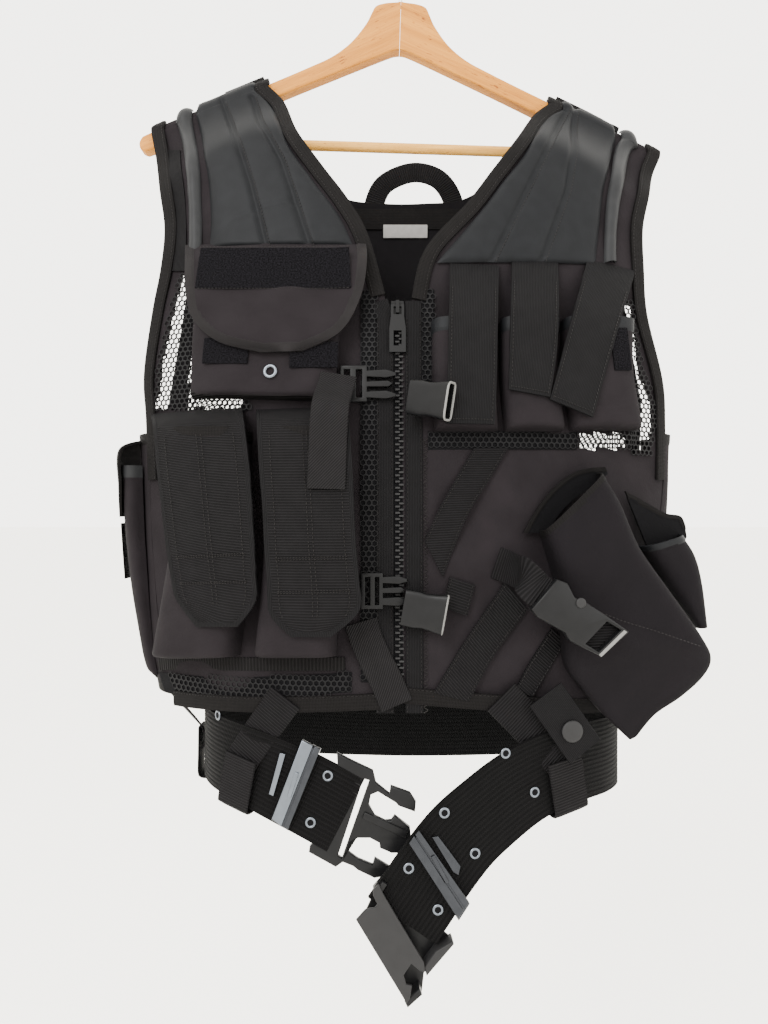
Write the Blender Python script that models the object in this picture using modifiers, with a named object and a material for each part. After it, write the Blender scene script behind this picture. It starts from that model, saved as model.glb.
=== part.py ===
"""A load-bearing tactical vest hanging on a wooden coat hanger.

Metres, +Z up, the front faces -Y and +X is the viewer's right. The origin is the
bearing point inside the hanger's hook. Every sub-part is one named object.
"""
import math

import bmesh
import bpy
from mathutils import Matrix, Vector

# The hanger.
HANGER_ROLL = math.radians(1.8)
HANGER_THICKNESS = 0.012
BAR_DROP = 0.1815
BAR_RADIUS = 0.0043
BAR_HALF = 0.180
HOOK_RADIUS = 0.0225
HOOK_WIRE = 0.0016

# The cloth body.
CLOTH = 0.0024
SIDE_SEAM = 0.0010
OVERLAY = 0.0008
PAD_OVERLAY = 0.0013
SIDE_OVERLAY = 0.0012
TAPE = 0.0012
BINDING_WIDTH = 0.0085
WALL = 0.0016
RIDGE_RADIUS = 0.0098
RIDGE_EASE = 0.07
HALF_WIDTH = 0.205
SIDE_POWER = 3

# The zip.
ZIP_X = -0.0062
ZIP_HALF = 0.0030
ZIP_TOP = -0.3525
ZIP_BOTTOM = -0.6360
PULL_PIVOT_Z = -0.3400
PULL_LEAN = math.radians(10)
PLACKET_TOP = -0.3920
PLACKET_BOTTOM = -0.6245

# The chest buckles.
PLUG_THICKNESS = 0.0036

# The belt.
BELT_WIDTH = 0.057
BELT_THICKNESS = 0.0026
LOOP_THICKNESS = 0.0016

# The handle is sewn to the back at this height.
HANDLE_SEAT_Z = -0.232

# Shoulder line: a point on it and its slope, on each side.
RIDGE_LEFT = (-0.1231, -0.1282, 0.4107)
RIDGE_RIGHT = (0.1148, -0.1357, -0.4862)

# Height, depth in the middle, depth at HALF_WIDTH, all from the hanger's plane.
FRONT_DEPTH = (
    (-0.127, 0.015, 0.010),
    (-0.190, 0.045, 0.024),
    (-0.290, 0.072, 0.038),
    (-0.350, 0.082, 0.042),
    (-0.440, 0.095, 0.043),
    (-0.540, 0.102, 0.041),
    (-0.640, 0.106, 0.038),
    (-0.700, 0.106, 0.038),
)
BACK_DEPTH = (
    (-0.127, 0.012, 0.010),
    (-0.220, 0.034, 0.014),
    (-0.350, 0.046, 0.018),
    (-0.500, 0.050, 0.020),
    (-0.700, 0.046, 0.020),
)

# How far below the shoulder line the first rows of cloth lie.
SHOULDER_DROPS = (0.0004, 0.0014, 0.0049, 0.0098)

# Front panels: x and z of the left edge, x and z of the right edge.
FRONT_LEFT_TOP = (-0.2130, -0.1150)
FRONT_LEFT_ROWS = (
    (-0.2060, -0.200, -0.1000, -0.155),
    (-0.1990, -0.232, -0.0860, -0.192),
    (-0.1930, -0.266, -0.0640, -0.226),
    (-0.1950, -0.300, -0.0440, -0.255),
    (-0.2020, -0.335, -0.0290, -0.284),
    (-0.2100, -0.384, -0.0160, -0.332),
    (-0.2080, -0.420, -0.0098, -0.380),
    (-0.2060, -0.470, -0.0098, -0.440),
    (-0.2040, -0.520, -0.0098, -0.500),
    (-0.1990, -0.570, -0.0098, -0.560),
    (-0.1930, -0.612, -0.0098, -0.602),
    (-0.1810, -0.647, -0.0098, -0.638),
)
FRONT_RIGHT_TOP = (0.1240, 0.2170)
FRONT_RIGHT_ROWS = (
    (0.1080, -0.168, 0.2080, -0.212),
    (0.0900, -0.199, 0.2000, -0.236),
    (0.0680, -0.230, 0.1920, -0.266),
    (0.0480, -0.258, 0.1910, -0.300),
    (0.0150, -0.297, 0.1930, -0.339),
    (0.0050, -0.335, 0.2080, -0.390),
    (-0.0026, -0.380, 0.2110, -0.425),
    (-0.0026, -0.440, 0.2110, -0.470),
    (-0.0026, -0.500, 0.2050, -0.520),
    (-0.0026, -0.560, 0.1980, -0.570),
    (-0.0026, -0.600, 0.1900, -0.615),
    (-0.0026, -0.634, 0.1770, -0.650),
)

# Back panel: x of each column at the shoulder line.
BACK_COLUMNS = (-0.213, -0.190, -0.165, -0.140, -0.115, -0.088, -0.055, -0.018,
                0.020, 0.058, 0.092, 0.124, 0.148, 0.172, 0.195, 0.217)
# Neck opening cut from the back panel.
BACK_NECK = (
    (-0.115, -0.060),
    (-0.115, -0.138),
    (-0.104, -0.158),
    (-0.088, -0.190),
    (-0.055, -0.212),
    (-0.018, -0.217),
    (0.020, -0.217),
    (0.058, -0.213),
    (0.092, -0.192),
    (0.112, -0.164),
    (0.124, -0.148),
    (0.124, -0.060),
)
# Height and how much narrower than the shoulders the back is there.
BACK_WIDTH = (
    (-0.165, 1.000),
    (-0.230, 0.925),
    (-0.280, 0.890),
    (-0.340, 0.930),
    (-0.400, 0.975),
    (-0.470, 0.965),
    (-0.560, 0.925),
    (-0.650, 0.850),
)
BACK_ROWS = (-0.255, -0.300, -0.345, -0.390, -0.430, -0.480, -0.530, -0.580, -0.615, -0.646)

# Rows of cloth between the shoulder and the first of them.
BLADE_STEPS = 4

# Sides, from the bottom of the armhole to the hem: height of each row.
SIDE_ROWS = (-0.432, -0.445, -0.470, -0.495, -0.520, -0.545, -0.570, -0.591, -0.612, -0.6295, -0.640)

PAD_LEFT_TOP = (-0.1757, -0.1250)
PAD_LEFT_ROWS = (
    (-0.1660, -0.190, -0.1100, -0.162),
    (-0.1570, -0.225, -0.0950, -0.202),
    (-0.1490, -0.258, -0.0720, -0.238),
    (-0.1430, -0.291, -0.0500, -0.270),
)
RIB_LEFT_TOP = (-0.1960, -0.1810)
RIB_LEFT_ROWS = (
    (-0.1830, -0.190, -0.1710, -0.190),
    (-0.1740, -0.226, -0.1620, -0.226),
    (-0.1680, -0.258, -0.1555, -0.258),
    (-0.1640, -0.291, -0.1510, -0.291),
)
PAD_RIGHT_TOP = (0.1345, 0.1800)
PAD_RIGHT_ROWS = (
    (0.1185, -0.174, 0.1710, -0.196),
    (0.1010, -0.205, 0.1610, -0.228),
    (0.0790, -0.237, 0.1530, -0.262),
    (0.0590, -0.264, 0.1470, -0.302),
)
RIB_RIGHT_TOP = (0.1850, 0.1990)
RIB_RIGHT_ROWS = (
    (0.1745, -0.200, 0.1870, -0.205),
    (0.1650, -0.230, 0.1775, -0.233),
    (0.1570, -0.262, 0.1690, -0.265),
    (0.1515, -0.302, 0.1635, -0.302),
)

# Pouches: x and z of the left edge, x and z of the right edge, top to bottom.
ID_POUCH_ROWS = (
    (-0.1600, -0.306, -0.0500, -0.310),
    (-0.1630, -0.360, -0.0500, -0.365),
    (-0.1630, -0.408, -0.0525, -0.414),
)
ID_FLAP_ROWS = (
    (-0.1665, -0.2930, -0.0430, -0.2970),
    (-0.1670, -0.3010, -0.0330, -0.3070),
    (-0.1645, -0.3330, -0.0320, -0.3330),
    (-0.1560, -0.3520, -0.0385, -0.3510),
    (-0.1430, -0.3650, -0.0480, -0.3640),
    (-0.1230, -0.3745, -0.0640, -0.3740),
    (-0.1050, -0.3795, -0.0830, -0.3795),
)
MAG_POUCH_ROWS = (
    (
        (-0.1920, -0.427, -0.1185, -0.427),
        (-0.1915, -0.515, -0.1175, -0.515),
        (-0.1880, -0.600, -0.1165, -0.600),
    ),
    (
        (-0.1115, -0.430, -0.0420, -0.430),
        (-0.1105, -0.515, -0.0425, -0.515),
        (-0.1095, -0.598, -0.0450, -0.598),
    ),
)
MAG_FLAP_ROWS = (
    (
        (-0.1942, -0.4170, -0.1180, -0.4180),
        (-0.1940, -0.4250, -0.1178, -0.4255),
        (-0.1890, -0.4700, -0.1150, -0.4700),
        (-0.1820, -0.5300, -0.1095, -0.5300),
        (-0.1760, -0.5600, -0.1080, -0.5600),
        (-0.1710, -0.5720, -0.1090, -0.5710),
        (-0.1590, -0.5800, -0.1190, -0.5790),
    ),
    (
        (-0.1085, -0.4200, -0.0425, -0.4210),
        (-0.1080, -0.4280, -0.0420, -0.4290),
        (-0.1035, -0.4700, -0.0375, -0.4700),
        (-0.1010, -0.5300, -0.0335, -0.5300),
        (-0.0995, -0.5600, -0.0325, -0.5650),
        (-0.0960, -0.5740, -0.0370, -0.5770),
        (-0.0870, -0.5820, -0.0500, -0.5830),
    ),
)
SMALL_POUCH_ROWS = (
    (
        (0.0215, -0.352, 0.0690, -0.352),
        (0.0220, -0.395, 0.0685, -0.395),
        (0.0230, -0.436, 0.0670, -0.436),
    ),
    (
        (0.0720, -0.352, 0.1160, -0.352),
        (0.0715, -0.395, 0.1155, -0.395),
        (0.0710, -0.436, 0.1145, -0.436),
    ),
    (
        (0.1215, -0.352, 0.1760, -0.348),
        (0.1210, -0.395, 0.1740, -0.392),
        (0.1205, -0.436, 0.1710, -0.433),
    ),
)
SMALL_FLAP_ROWS = (
    (
        (0.0320, -0.312, 0.0670, -0.312),
        (0.0315, -0.345, 0.0665, -0.345),
        (0.0305, -0.390, 0.0655, -0.390),
        (0.0290, -0.431, 0.0635, -0.431),
    ),
    (
        (0.0775, -0.309, 0.1130, -0.309),
        (0.0770, -0.345, 0.1120, -0.345),
        (0.0750, -0.380, 0.1080, -0.380),
        (0.0735, -0.409, 0.1040, -0.411),
    ),
    (
        (0.1370, -0.307, 0.1740, -0.311),
        (0.1290, -0.345, 0.1640, -0.349),
        (0.1190, -0.380, 0.1520, -0.386),
        (0.1085, -0.415, 0.1380, -0.424),
    ),
)
WEBBING_ROWS = (
    (
        (0.0485, -0.449, 0.0765, -0.449),
        (0.0310, -0.497, 0.0560, -0.500),
        (0.0142, -0.545, 0.0350, -0.550),
    ),
    (
        (0.0735, -0.546, 0.0895, -0.567),
        (0.0460, -0.589, 0.0680, -0.602),
        (0.0190, -0.621, 0.0450, -0.624),
    ),
)

# Holster: x and z of the left edge, x and z of the right edge, thickness.
HOLSTER_ROWS = (
    (0.0830, -0.520, 0.1410, -0.464, 0.026),
    (0.1000, -0.534, 0.1570, -0.492, 0.032),
    (0.1090, -0.556, 0.1760, -0.526, 0.035),
    (0.1140, -0.588, 0.1990, -0.560, 0.030),
    (0.1220, -0.616, 0.2170, -0.594, 0.023),
    (0.1380, -0.640, 0.2165, -0.611, 0.016),
    (0.1580, -0.657, 0.1960, -0.627, 0.010),
)
HOLSTER_BACK = 0.0978
HOLSTER_LEAN = 0.13
HOLSTER_INNER_X = 0.080
HOLSTER_POCKET_ROWS = (
    (0.1526, -0.483, 0.2040, -0.503),
    (0.1677, -0.510, 0.2130, -0.526),
    (0.1841, -0.537, 0.2200, -0.551),
    (0.2026, -0.565, 0.2250, -0.574),
)
HOLSTER_POCKET_BACK = 0.0778
HOLSTER_POCKET_LEAN = 0.33
HOLSTER_POCKET_THICKNESS = 0.018

# Belt: middle of the web, then the way its outer face looks.
BELT_ROWS = (
    (-0.0440, -0.1110, -0.7140, 0.00, -1.00, 0.06),
    (-0.0640, -0.1100, -0.7035, -0.05, -1.00, 0.06),
    (-0.0830, -0.1080, -0.6945, -0.10, -1.00, 0.06),
    (-0.1020, -0.1040, -0.6870, -0.25, -1.00, 0.04),
    (-0.1190, -0.0970, -0.6820, -0.45, -1.00, 0.00),
    (-0.1350, -0.0860, -0.6790, -0.70, -0.80, 0.00),
    (-0.1480, -0.0700, -0.6780, -0.90, -0.50, 0.00),
    (-0.1570, -0.0500, -0.6780, -1.00, -0.25, 0.00),
    (-0.1610, -0.0280, -0.6790, -1.00, 0.00, 0.00),
    (-0.1590, -0.0060, -0.6800, -1.00, 0.25, 0.00),
    (-0.1500, 0.0130, -0.6810, -0.80, 0.60, 0.00),
    (-0.1330, 0.0270, -0.6830, -0.45, 1.00, 0.00),
    (-0.1050, 0.0370, -0.6860, -0.15, 1.00, 0.00),
    (-0.0550, 0.0430, -0.6900, -0.05, 1.00, 0.00),
    (0.0000, 0.0450, -0.6920, 0.00, 1.00, 0.00),
    (0.0550, 0.0430, -0.6910, 0.05, 1.00, 0.00),
    (0.1050, 0.0370, -0.6880, 0.15, 1.00, 0.00),
    (0.1400, 0.0250, -0.6860, 0.50, 1.00, 0.00),
    (0.1600, 0.0090, -0.6870, 0.85, 0.60, 0.00),
    (0.1700, -0.0130, -0.6860, 1.00, 0.20, 0.00),
    (0.1710, -0.0360, -0.6840, 1.00, -0.15, 0.00),
    (0.1650, -0.0570, -0.6820, 1.00, -0.50, 0.00),
    (0.1520, -0.0760, -0.6810, 0.80, -0.80, 0.00),
    (0.1340, -0.0900, -0.6810, 0.55, -1.00, 0.00),
    (0.1140, -0.1000, -0.6830, 0.35, -1.00, 0.00),
    (0.0950, -0.1080, -0.6880, 0.25, -1.00, 0.00),
    (0.0770, -0.1140, -0.6960, 0.18, -1.00, 0.00),
    (0.0570, -0.1200, -0.7090, 0.15, -1.00, 0.00),
    (0.0380, -0.1250, -0.7240, 0.10, -1.00, 0.00),
    (0.0210, -0.1280, -0.7440, 0.08, -1.00, 0.00),
    (0.0060, -0.1300, -0.7650, 0.05, -1.00, 0.00),
)

COLOURS = {
    "beech": ((0.62, 0.40, 0.21), 0.45, 0.0),
    "steel": ((0.55, 0.56, 0.57), 0.25, 1.0),
    "black_cloth": ((0.012, 0.011, 0.012), 0.92, 0.0),
    "black_tape": ((0.015, 0.014, 0.015), 0.85, 0.0),
    "grey_hide": ((0.060, 0.062, 0.065), 0.55, 0.0),
    "black_plastic": ((0.010, 0.010, 0.011), 0.38, 0.0),
    "belt_web": ((0.009, 0.009, 0.009), 0.80, 0.0),
}


def clear_scene():
    for thing in list(bpy.data.objects):
        bpy.data.objects.remove(thing, do_unlink=True)
    vest = bpy.data.collections.new("tactical_vest")
    tools = bpy.data.collections.new("cutters")
    for group in (vest, tools):
        bpy.context.scene.collection.children.link(group)
    return vest, tools


VEST, CUTTERS = clear_scene()


def material(name):
    found = bpy.data.materials.get(name)
    if found:
        return found
    colour, roughness, metallic = COLOURS[name]
    made = bpy.data.materials.new(name)
    made.use_nodes = True
    shader = made.node_tree.nodes["Principled BSDF"]
    shader.inputs["Base Color"].default_value = (*colour, 1.0)
    shader.inputs["Roughness"].default_value = roughness
    shader.inputs["Metallic"].default_value = metallic
    return made


def add_object(name, mesh, finish):
    thing = bpy.data.objects.new(name, mesh)
    mesh.materials.clear()
    mesh.materials.append(material(finish))
    VEST.objects.link(thing)
    return thing


# Shape of the cloth body.

def ridge(x):
    """Height and slope of the shoulder line over x."""
    lines = []
    for across, height, slope in (RIDGE_LEFT, RIDGE_RIGHT):
        lines.append((height + slope * (x - across), slope))
    return min(lines)


def ridge_height(x):
    return ridge(x)[0]


def read_table(rows, height):
    """The row of a table at a height, with the values between rows mixed."""
    if height >= rows[0][0]:
        return rows[0][1:]
    for upper, lower in zip(rows, rows[1:]):
        if height >= lower[0]:
            share = (upper[0] - height) / (upper[0] - lower[0])
            return tuple(a + (b - a) * share for a, b in zip(upper[1:], lower[1:]))
    return rows[-1][1:]


def depth(table, x, z):
    """How far the cloth stands from the hanger's plane."""
    middle, side = read_table(table, z)
    share = min(1.1, abs(x) / HALF_WIDTH) ** SIDE_POWER
    full = middle + (side - middle) * share
    drop = max(0.0, ridge_height(x) - z)
    near = min(drop, RIDGE_RADIUS)
    corner = math.sqrt(max(0.0, RIDGE_RADIUS ** 2 - (RIDGE_RADIUS - near) ** 2))
    ease = min(1.0, drop / RIDGE_EASE)
    ease = ease * ease * (3 - 2 * ease)
    return corner + max(0.0, full - RIDGE_RADIUS) * ease


def cloth_spot(table, facing, x, z, lift):
    """A point lifted off the cloth, and the way the cloth looks there."""
    crest, slope = ridge(x)
    drop = crest - z
    if drop < RIDGE_RADIUS:
        turn = math.acos(max(-1.0, min(1.0, 1 - drop / RIDGE_RADIUS)))
        round_way = Vector((0.0, facing * math.sin(turn), math.cos(turn)))
        normal = Vector((-slope * math.cos(turn), round_way.y, round_way.z)).normalized()
        return Vector((x, 0.0, crest - RIDGE_RADIUS)) + round_way * RIDGE_RADIUS + normal * lift, normal
    step = 0.004
    slope_x = (depth(table, x + step, z) - depth(table, x - step, z)) / (2 * step)
    upper = max(depth(table, x, z + step), RIDGE_RADIUS)
    slope_z = (upper - depth(table, x, z - step)) / (2 * step)
    normal = Vector((-slope_x, facing, -slope_z)).normalized()
    return Vector((x, facing * depth(table, x, z), z)) + normal * lift, normal


def front_spot(x, z, lift):
    return cloth_spot(FRONT_DEPTH, -1, x, z, lift)


def back_spot(x, z, lift):
    return cloth_spot(BACK_DEPTH, 1, x, z, lift)


def edge_x(rows, column, z):
    """x of a panel's edge at a height."""
    table = [(row[column + 1], row[column]) for row in rows]
    return read_table(table, z)[0]


def side_spot(hand, turn, z, lift):
    """A point on the side cloth: turn runs from 0 at the front to 1 at the back."""
    if hand < 0:
        rows, column, shoulder = FRONT_LEFT_ROWS, 0, BACK_COLUMNS[0]
    else:
        rows, column, shoulder = FRONT_RIGHT_ROWS, 2, BACK_COLUMNS[-1]
    front_x = edge_x(rows, column, z)
    back_x = shoulder * read_table(BACK_WIDTH, z)[0]
    ends = []
    for spot, across in ((front_spot, front_x), (back_spot, back_x)):
        point, normal = spot(across, z, 0.0)
        along = Vector((abs(normal.y), abs(normal.x) * (1 if spot is front_spot else -1), 0.0))
        along.x *= hand
        along.normalize()
        ends.append((point + along * SIDE_SEAM, along))
    (start, leave), (finish, arrive) = ends
    reach = (finish - start).length * 0.38
    handles = (start, start + leave * reach, finish + arrive * reach, finish)
    rest = 1 - turn
    weights = (rest ** 3, 3 * rest ** 2 * turn, 3 * rest * turn ** 2, turn ** 3)
    point = sum((h * w for h, w in zip(handles, weights)), Vector())
    slopes = (-3 * rest ** 2, 3 * rest ** 2 - 6 * rest * turn, 6 * rest * turn - 3 * turn ** 2, 3 * turn ** 2)
    along = sum((h * w for h, w in zip(handles, slopes)), Vector())
    normal = Vector((hand * along.y, -hand * along.x, 0.0)).normalized()
    point = Vector((point.x, point.y, z)) + normal * lift
    return point, normal


# Mesh builders.

def subdivided_cube(cuts):
    """A unit cube cut into strips along each axis."""
    work = bmesh.new()
    bmesh.ops.create_cube(work, size=1.0)
    for axis, count in enumerate(cuts):
        if count < 2:
            continue
        edges = []
        for edge in work.edges:
            run = edge.verts[1].co - edge.verts[0].co
            if abs(run[axis]) > 0.5 * run.length:
                edges.append(edge)
        bmesh.ops.subdivide_edges(work, edges=edges, cuts=count - 1, use_grid_fill=True)
    return work


def finish_mesh(name, work):
    mesh = bpy.data.meshes.new(name)
    work.to_mesh(mesh)
    work.free()
    return mesh


def open_lid(work):
    """Takes the top face off a block, for a pocket."""
    lid = [face for face in work.faces if face.calc_center_median().z > 0.499]
    bmesh.ops.delete(work, geom=lid, context="FACES")


def add_wall(thing, thickness):
    """Turns an open skin into a wall that grows inwards."""
    shell = thing.modifiers.new("wall", "SOLIDIFY")
    shell.thickness = thickness
    shell.offset = -1
    shell.use_even_offset = True


def blend_rows(rows, down):
    """The row of a shape table at a share of the way down."""
    place = down * (len(rows) - 1)
    first = min(int(place), len(rows) - 2)
    share = place - first
    return tuple(a + (b - a) * share for a, b in zip(rows[first], rows[first + 1]))


def with_shoulder(top, rows):
    """Adds the rows that go over the hanger to a panel's table."""
    left, right = top
    above = []
    for drop in SHOULDER_DROPS:
        above.append((left, ridge_height(left) - drop, right, ridge_height(right) - drop))
    return tuple(above) + tuple(rows)


def between_edges(rows):
    """Turns a table of edges into a place for every share across and down."""
    def place(across, down):
        left_x, left_z, right_x, right_z = blend_rows(rows, down)[:4]
        return left_x + (right_x - left_x) * across, left_z + (right_z - left_z) * across
    return place


def bent_block(name, finish, place, across, down, lifts, spot=front_spot, facing=-1, open_top=False):
    """A block bent onto the cloth. lifts gives inner and outer lift at a place."""
    work = subdivided_cube((across, 1, down))
    if open_top:
        open_lid(work)
    for vert in work.verts:
        share_across = vert.co.x + 0.5
        share_down = 0.5 - vert.co.z
        x, z = place(share_across, share_down)
        inner, outer = lifts(share_across, share_down)
        lift = outer if vert.co.y * facing > 0 else inner
        vert.co = spot(x, z, lift)[0]
    thing = add_object(name, finish_mesh(name, work), finish)
    if open_top:
        add_wall(thing, WALL)
    return thing


def even_lift(inner, outer, crown=0.0):
    """Lifts that are the same all over, with an outer face that falls to its sides."""
    def lifts(across, down):
        fall = crown * abs(2 * across - 1) ** 3
        return inner, inner + (outer - inner) * (1 - fall)
    return lifts


def row_lift(rows, thickness):
    """Lifts that change down the piece: a table of inner lifts."""
    def lifts(across, down):
        inner = blend_rows([(value,) for value in rows], down)[0]
        return inner, inner + thickness
    return lifts


def ribbon(name, finish, path, width, thickness):
    """A flat band along a path of points with the way each looks."""
    work = subdivided_cube((len(path) - 1, 1, 1))
    frames = path_frames(path)
    last = len(path) - 1
    for vert in work.verts:
        index = round((vert.co.x + 0.5) * last)
        point, along, normal, side = frames[index]
        vert.co = point + normal * ((vert.co.y + 0.5) * thickness) + side * (vert.co.z * width)
    return add_object(name, finish_mesh(name, work), finish)


def path_frames(path):
    frames = []
    for index, (point, facing) in enumerate(path):
        before = path[max(index - 1, 0)][0]
        after = path[min(index + 1, len(path) - 1)][0]
        along = (after - before).normalized()
        side = along.cross(facing).normalized()
        normal = side.cross(along).normalized()
        frames.append((point, along, normal, side))
    return frames


def flat_piece(name, finish, loops, thickness):
    """A plate from flat outlines in x and z, the first its edge and the rest its holes."""
    curve = bpy.data.curves.new(name, "CURVE")
    curve.dimensions = "2D"
    curve.fill_mode = "BOTH"
    curve.extrude = thickness / 2
    for loop in loops:
        spline = curve.splines.new("POLY")
        spline.points.add(len(loop) - 1)
        spline.use_cyclic_u = True
        for point, (x, z) in zip(spline.points, loop):
            point.co = (x, z, 0.0, 1.0)
    plate = bpy.data.objects.new(name, curve)
    bpy.context.scene.collection.objects.link(plate)
    bpy.context.view_layer.update()
    ready = plate.evaluated_get(bpy.context.evaluated_depsgraph_get())
    mesh = bpy.data.meshes.new_from_object(ready)
    bpy.data.objects.remove(plate, do_unlink=True)
    work = bmesh.new()
    work.from_mesh(mesh)
    bmesh.ops.remove_doubles(work, verts=work.verts, dist=0.00001)
    if len(loops) == 1:
        bmesh.ops.dissolve_limit(work, angle_limit=math.radians(1), verts=work.verts, edges=work.edges)
    bmesh.ops.rotate(work, verts=work.verts, cent=(0, 0, 0), matrix=Matrix.Rotation(math.pi / 2, 3, "X"))
    work.to_mesh(mesh)
    work.free()
    return add_object(name, mesh, finish)


def cut_from(thing, tool, operation):
    """Cuts or joins one piece with another that is then only a guide."""
    VEST.objects.unlink(tool)
    CUTTERS.objects.link(tool)
    tool.hide_render = True
    tool.display_type = "WIRE"
    change = thing.modifiers.new(tool.name, "BOOLEAN")
    change.operation = operation
    change.object = tool


def tube(name, finish, points, radius, sides):
    curve = bpy.data.curves.new(name, "CURVE")
    curve.dimensions = "3D"
    curve.bevel_depth = radius
    curve.bevel_resolution = sides
    curve.use_fill_caps = True
    spline = curve.splines.new("POLY")
    spline.points.add(len(points) - 1)
    for point, place in zip(spline.points, points):
        point.co = (*place, 1.0)
    thing = bpy.data.objects.new(name, curve)
    curve.materials.append(material(finish))
    VEST.objects.link(thing)
    return thing


def block(name, finish, size):
    """A plain box about its own centre."""
    work = bmesh.new()
    bmesh.ops.create_cube(work, size=1.0)
    bmesh.ops.scale(work, vec=size, verts=work.verts)
    return add_object(name, finish_mesh(name, work), finish)


def open_box(name, finish, size, wall, open_sides):
    """A box with walls, open at the named sides: '+x' or '-x'."""
    work = bmesh.new()
    bmesh.ops.create_cube(work, size=1.0)
    bmesh.ops.scale(work, vec=size, verts=work.verts)
    ways = {"+x": Vector((1, 0, 0)), "-x": Vector((-1, 0, 0))}
    gone = [face for face in work.faces if any(face.normal.dot(ways[side]) > 0.9 for side in open_sides)]
    bmesh.ops.delete(work, geom=gone, context="FACES")
    thing = add_object(name, finish_mesh(name, work), finish)
    add_wall(thing, wall)
    return thing


def place_in_frame(thing, point, along, outward):
    """Stands a piece with its x along the first way and its -y along the second."""
    side = along.cross(outward).normalized()
    face = side.cross(along).normalized()
    turn = Matrix((along.normalized(), -face, -side)).transposed().to_4x4()
    thing.matrix_world = Matrix.Translation(point) @ turn


# Sub-parts.

def build_hanger():
    rig = bpy.data.objects.new("hanger_rig", None)
    CUTTERS.objects.link(rig)
    rig.rotation_euler = (0.0, HANGER_ROLL, 0.0)
    half = (
        (0.0145, -0.0598),
        (0.0235, -0.0640),
        (0.0300, -0.0790),
        (0.0420, -0.0945),
        (0.0575, -0.1068),
        (0.0760, -0.1162),
        (0.1058, -0.1300),
        (0.2120, -0.1776),
        (0.2200, -0.1850),
        (0.2180, -0.1935),
        (0.1000, -0.1418),
        (0.0120, -0.1030),
    )
    outline = [(0.0, -0.0585)] + list(half) + [(0.0, -0.0990)]
    outline += [(-x, z) for x, z in reversed(half)]
    wood = flat_piece("hanger_wood", "beech", [outline[::-1]], HANGER_THICKNESS)
    edge = wood.modifiers.new("round", "BEVEL")
    edge.width = 0.0040
    edge.segments = 2
    edge.limit_method = "ANGLE"
    edge.angle_limit = math.radians(50)
    ends = ((-BAR_HALF, 0.0, -BAR_DROP), (BAR_HALF, 0.0, -BAR_DROP))
    bar = tube("hanger_bar", "beech", ends, BAR_RADIUS, 2)
    centre = HOOK_WIRE - HOOK_RADIUS
    points = [(0.0, 0.0, -0.0580), (0.0, 0.0, -0.0500)]
    for step in range(15):
        angle = math.radians(-75 + step * 19)
        points.append((HOOK_RADIUS * math.cos(angle), 0.0, centre + HOOK_RADIUS * math.sin(angle)))
    hook = tube("hanger_hook", "steel", points, HOOK_WIRE, 2)
    for thing in (wood, bar, hook):
        thing.parent = rig


def build_cloth():
    left = with_shoulder(FRONT_LEFT_TOP, FRONT_LEFT_ROWS)
    right = with_shoulder(FRONT_RIGHT_TOP, FRONT_RIGHT_ROWS)
    for name, rows in (("front_left", left), ("front_right", right)):
        bent_block(name, "black_cloth", between_edges(rows), 9, 2 * (len(rows) - 1), even_lift(-CLOTH, 0.0))

    def back_place(across, down):
        x = BACK_COLUMNS[round(across * (len(BACK_COLUMNS) - 1))]
        row = round(down * back_rows)
        start = ridge_height(x) - SHOULDER_DROPS[min(row, len(SHOULDER_DROPS) - 1)]
        row -= len(SHOULDER_DROPS) - 1
        if row <= 0:
            return x, start
        if row < BLADE_STEPS:
            z = start + (BACK_ROWS[0] - start) * row / BLADE_STEPS
        else:
            z = BACK_ROWS[row - BLADE_STEPS]
        return x * read_table(BACK_WIDTH, z)[0], z

    back_rows = len(SHOULDER_DROPS) - 1 + BLADE_STEPS + len(BACK_ROWS) - 1
    back = bent_block("back_panel", "black_cloth", back_place, len(BACK_COLUMNS) - 1, back_rows,
                      even_lift(-CLOTH, 0.0), spot=back_spot, facing=1)
    neck = flat_piece("back_neck", "black_cloth", [BACK_NECK], 0.200)
    cut_from(back, neck, "DIFFERENCE")
    for name, hand in (("side_left", -1), ("side_right", 1)):
        side_block(name, "black_cloth", hand, (0.0, 1.0), SIDE_ROWS, 8, even_lift(-CLOTH, 0.0))


def side_block(name, finish, hand, turns, heights, across, lifts, open_top=False):
    """A block bent onto a side of the vest."""
    work = subdivided_cube((across, 1, len(heights) - 1))
    if open_top:
        open_lid(work)
    first, last = turns if hand > 0 else turns[::-1]
    for vert in work.verts:
        share_across = vert.co.x + 0.5
        share_down = 0.5 - vert.co.z
        z = blend_rows([(height,) for height in heights], share_down)[0]
        inner, outer = lifts(share_across, share_down)
        lift = outer if vert.co.y < 0 else inner
        turn = first + (last - first) * share_across
        vert.co = side_spot(hand, turn, z, lift)[0]
    thing = add_object(name, finish_mesh(name, work), finish)
    if open_top:
        add_wall(thing, WALL)
    return thing


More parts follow.
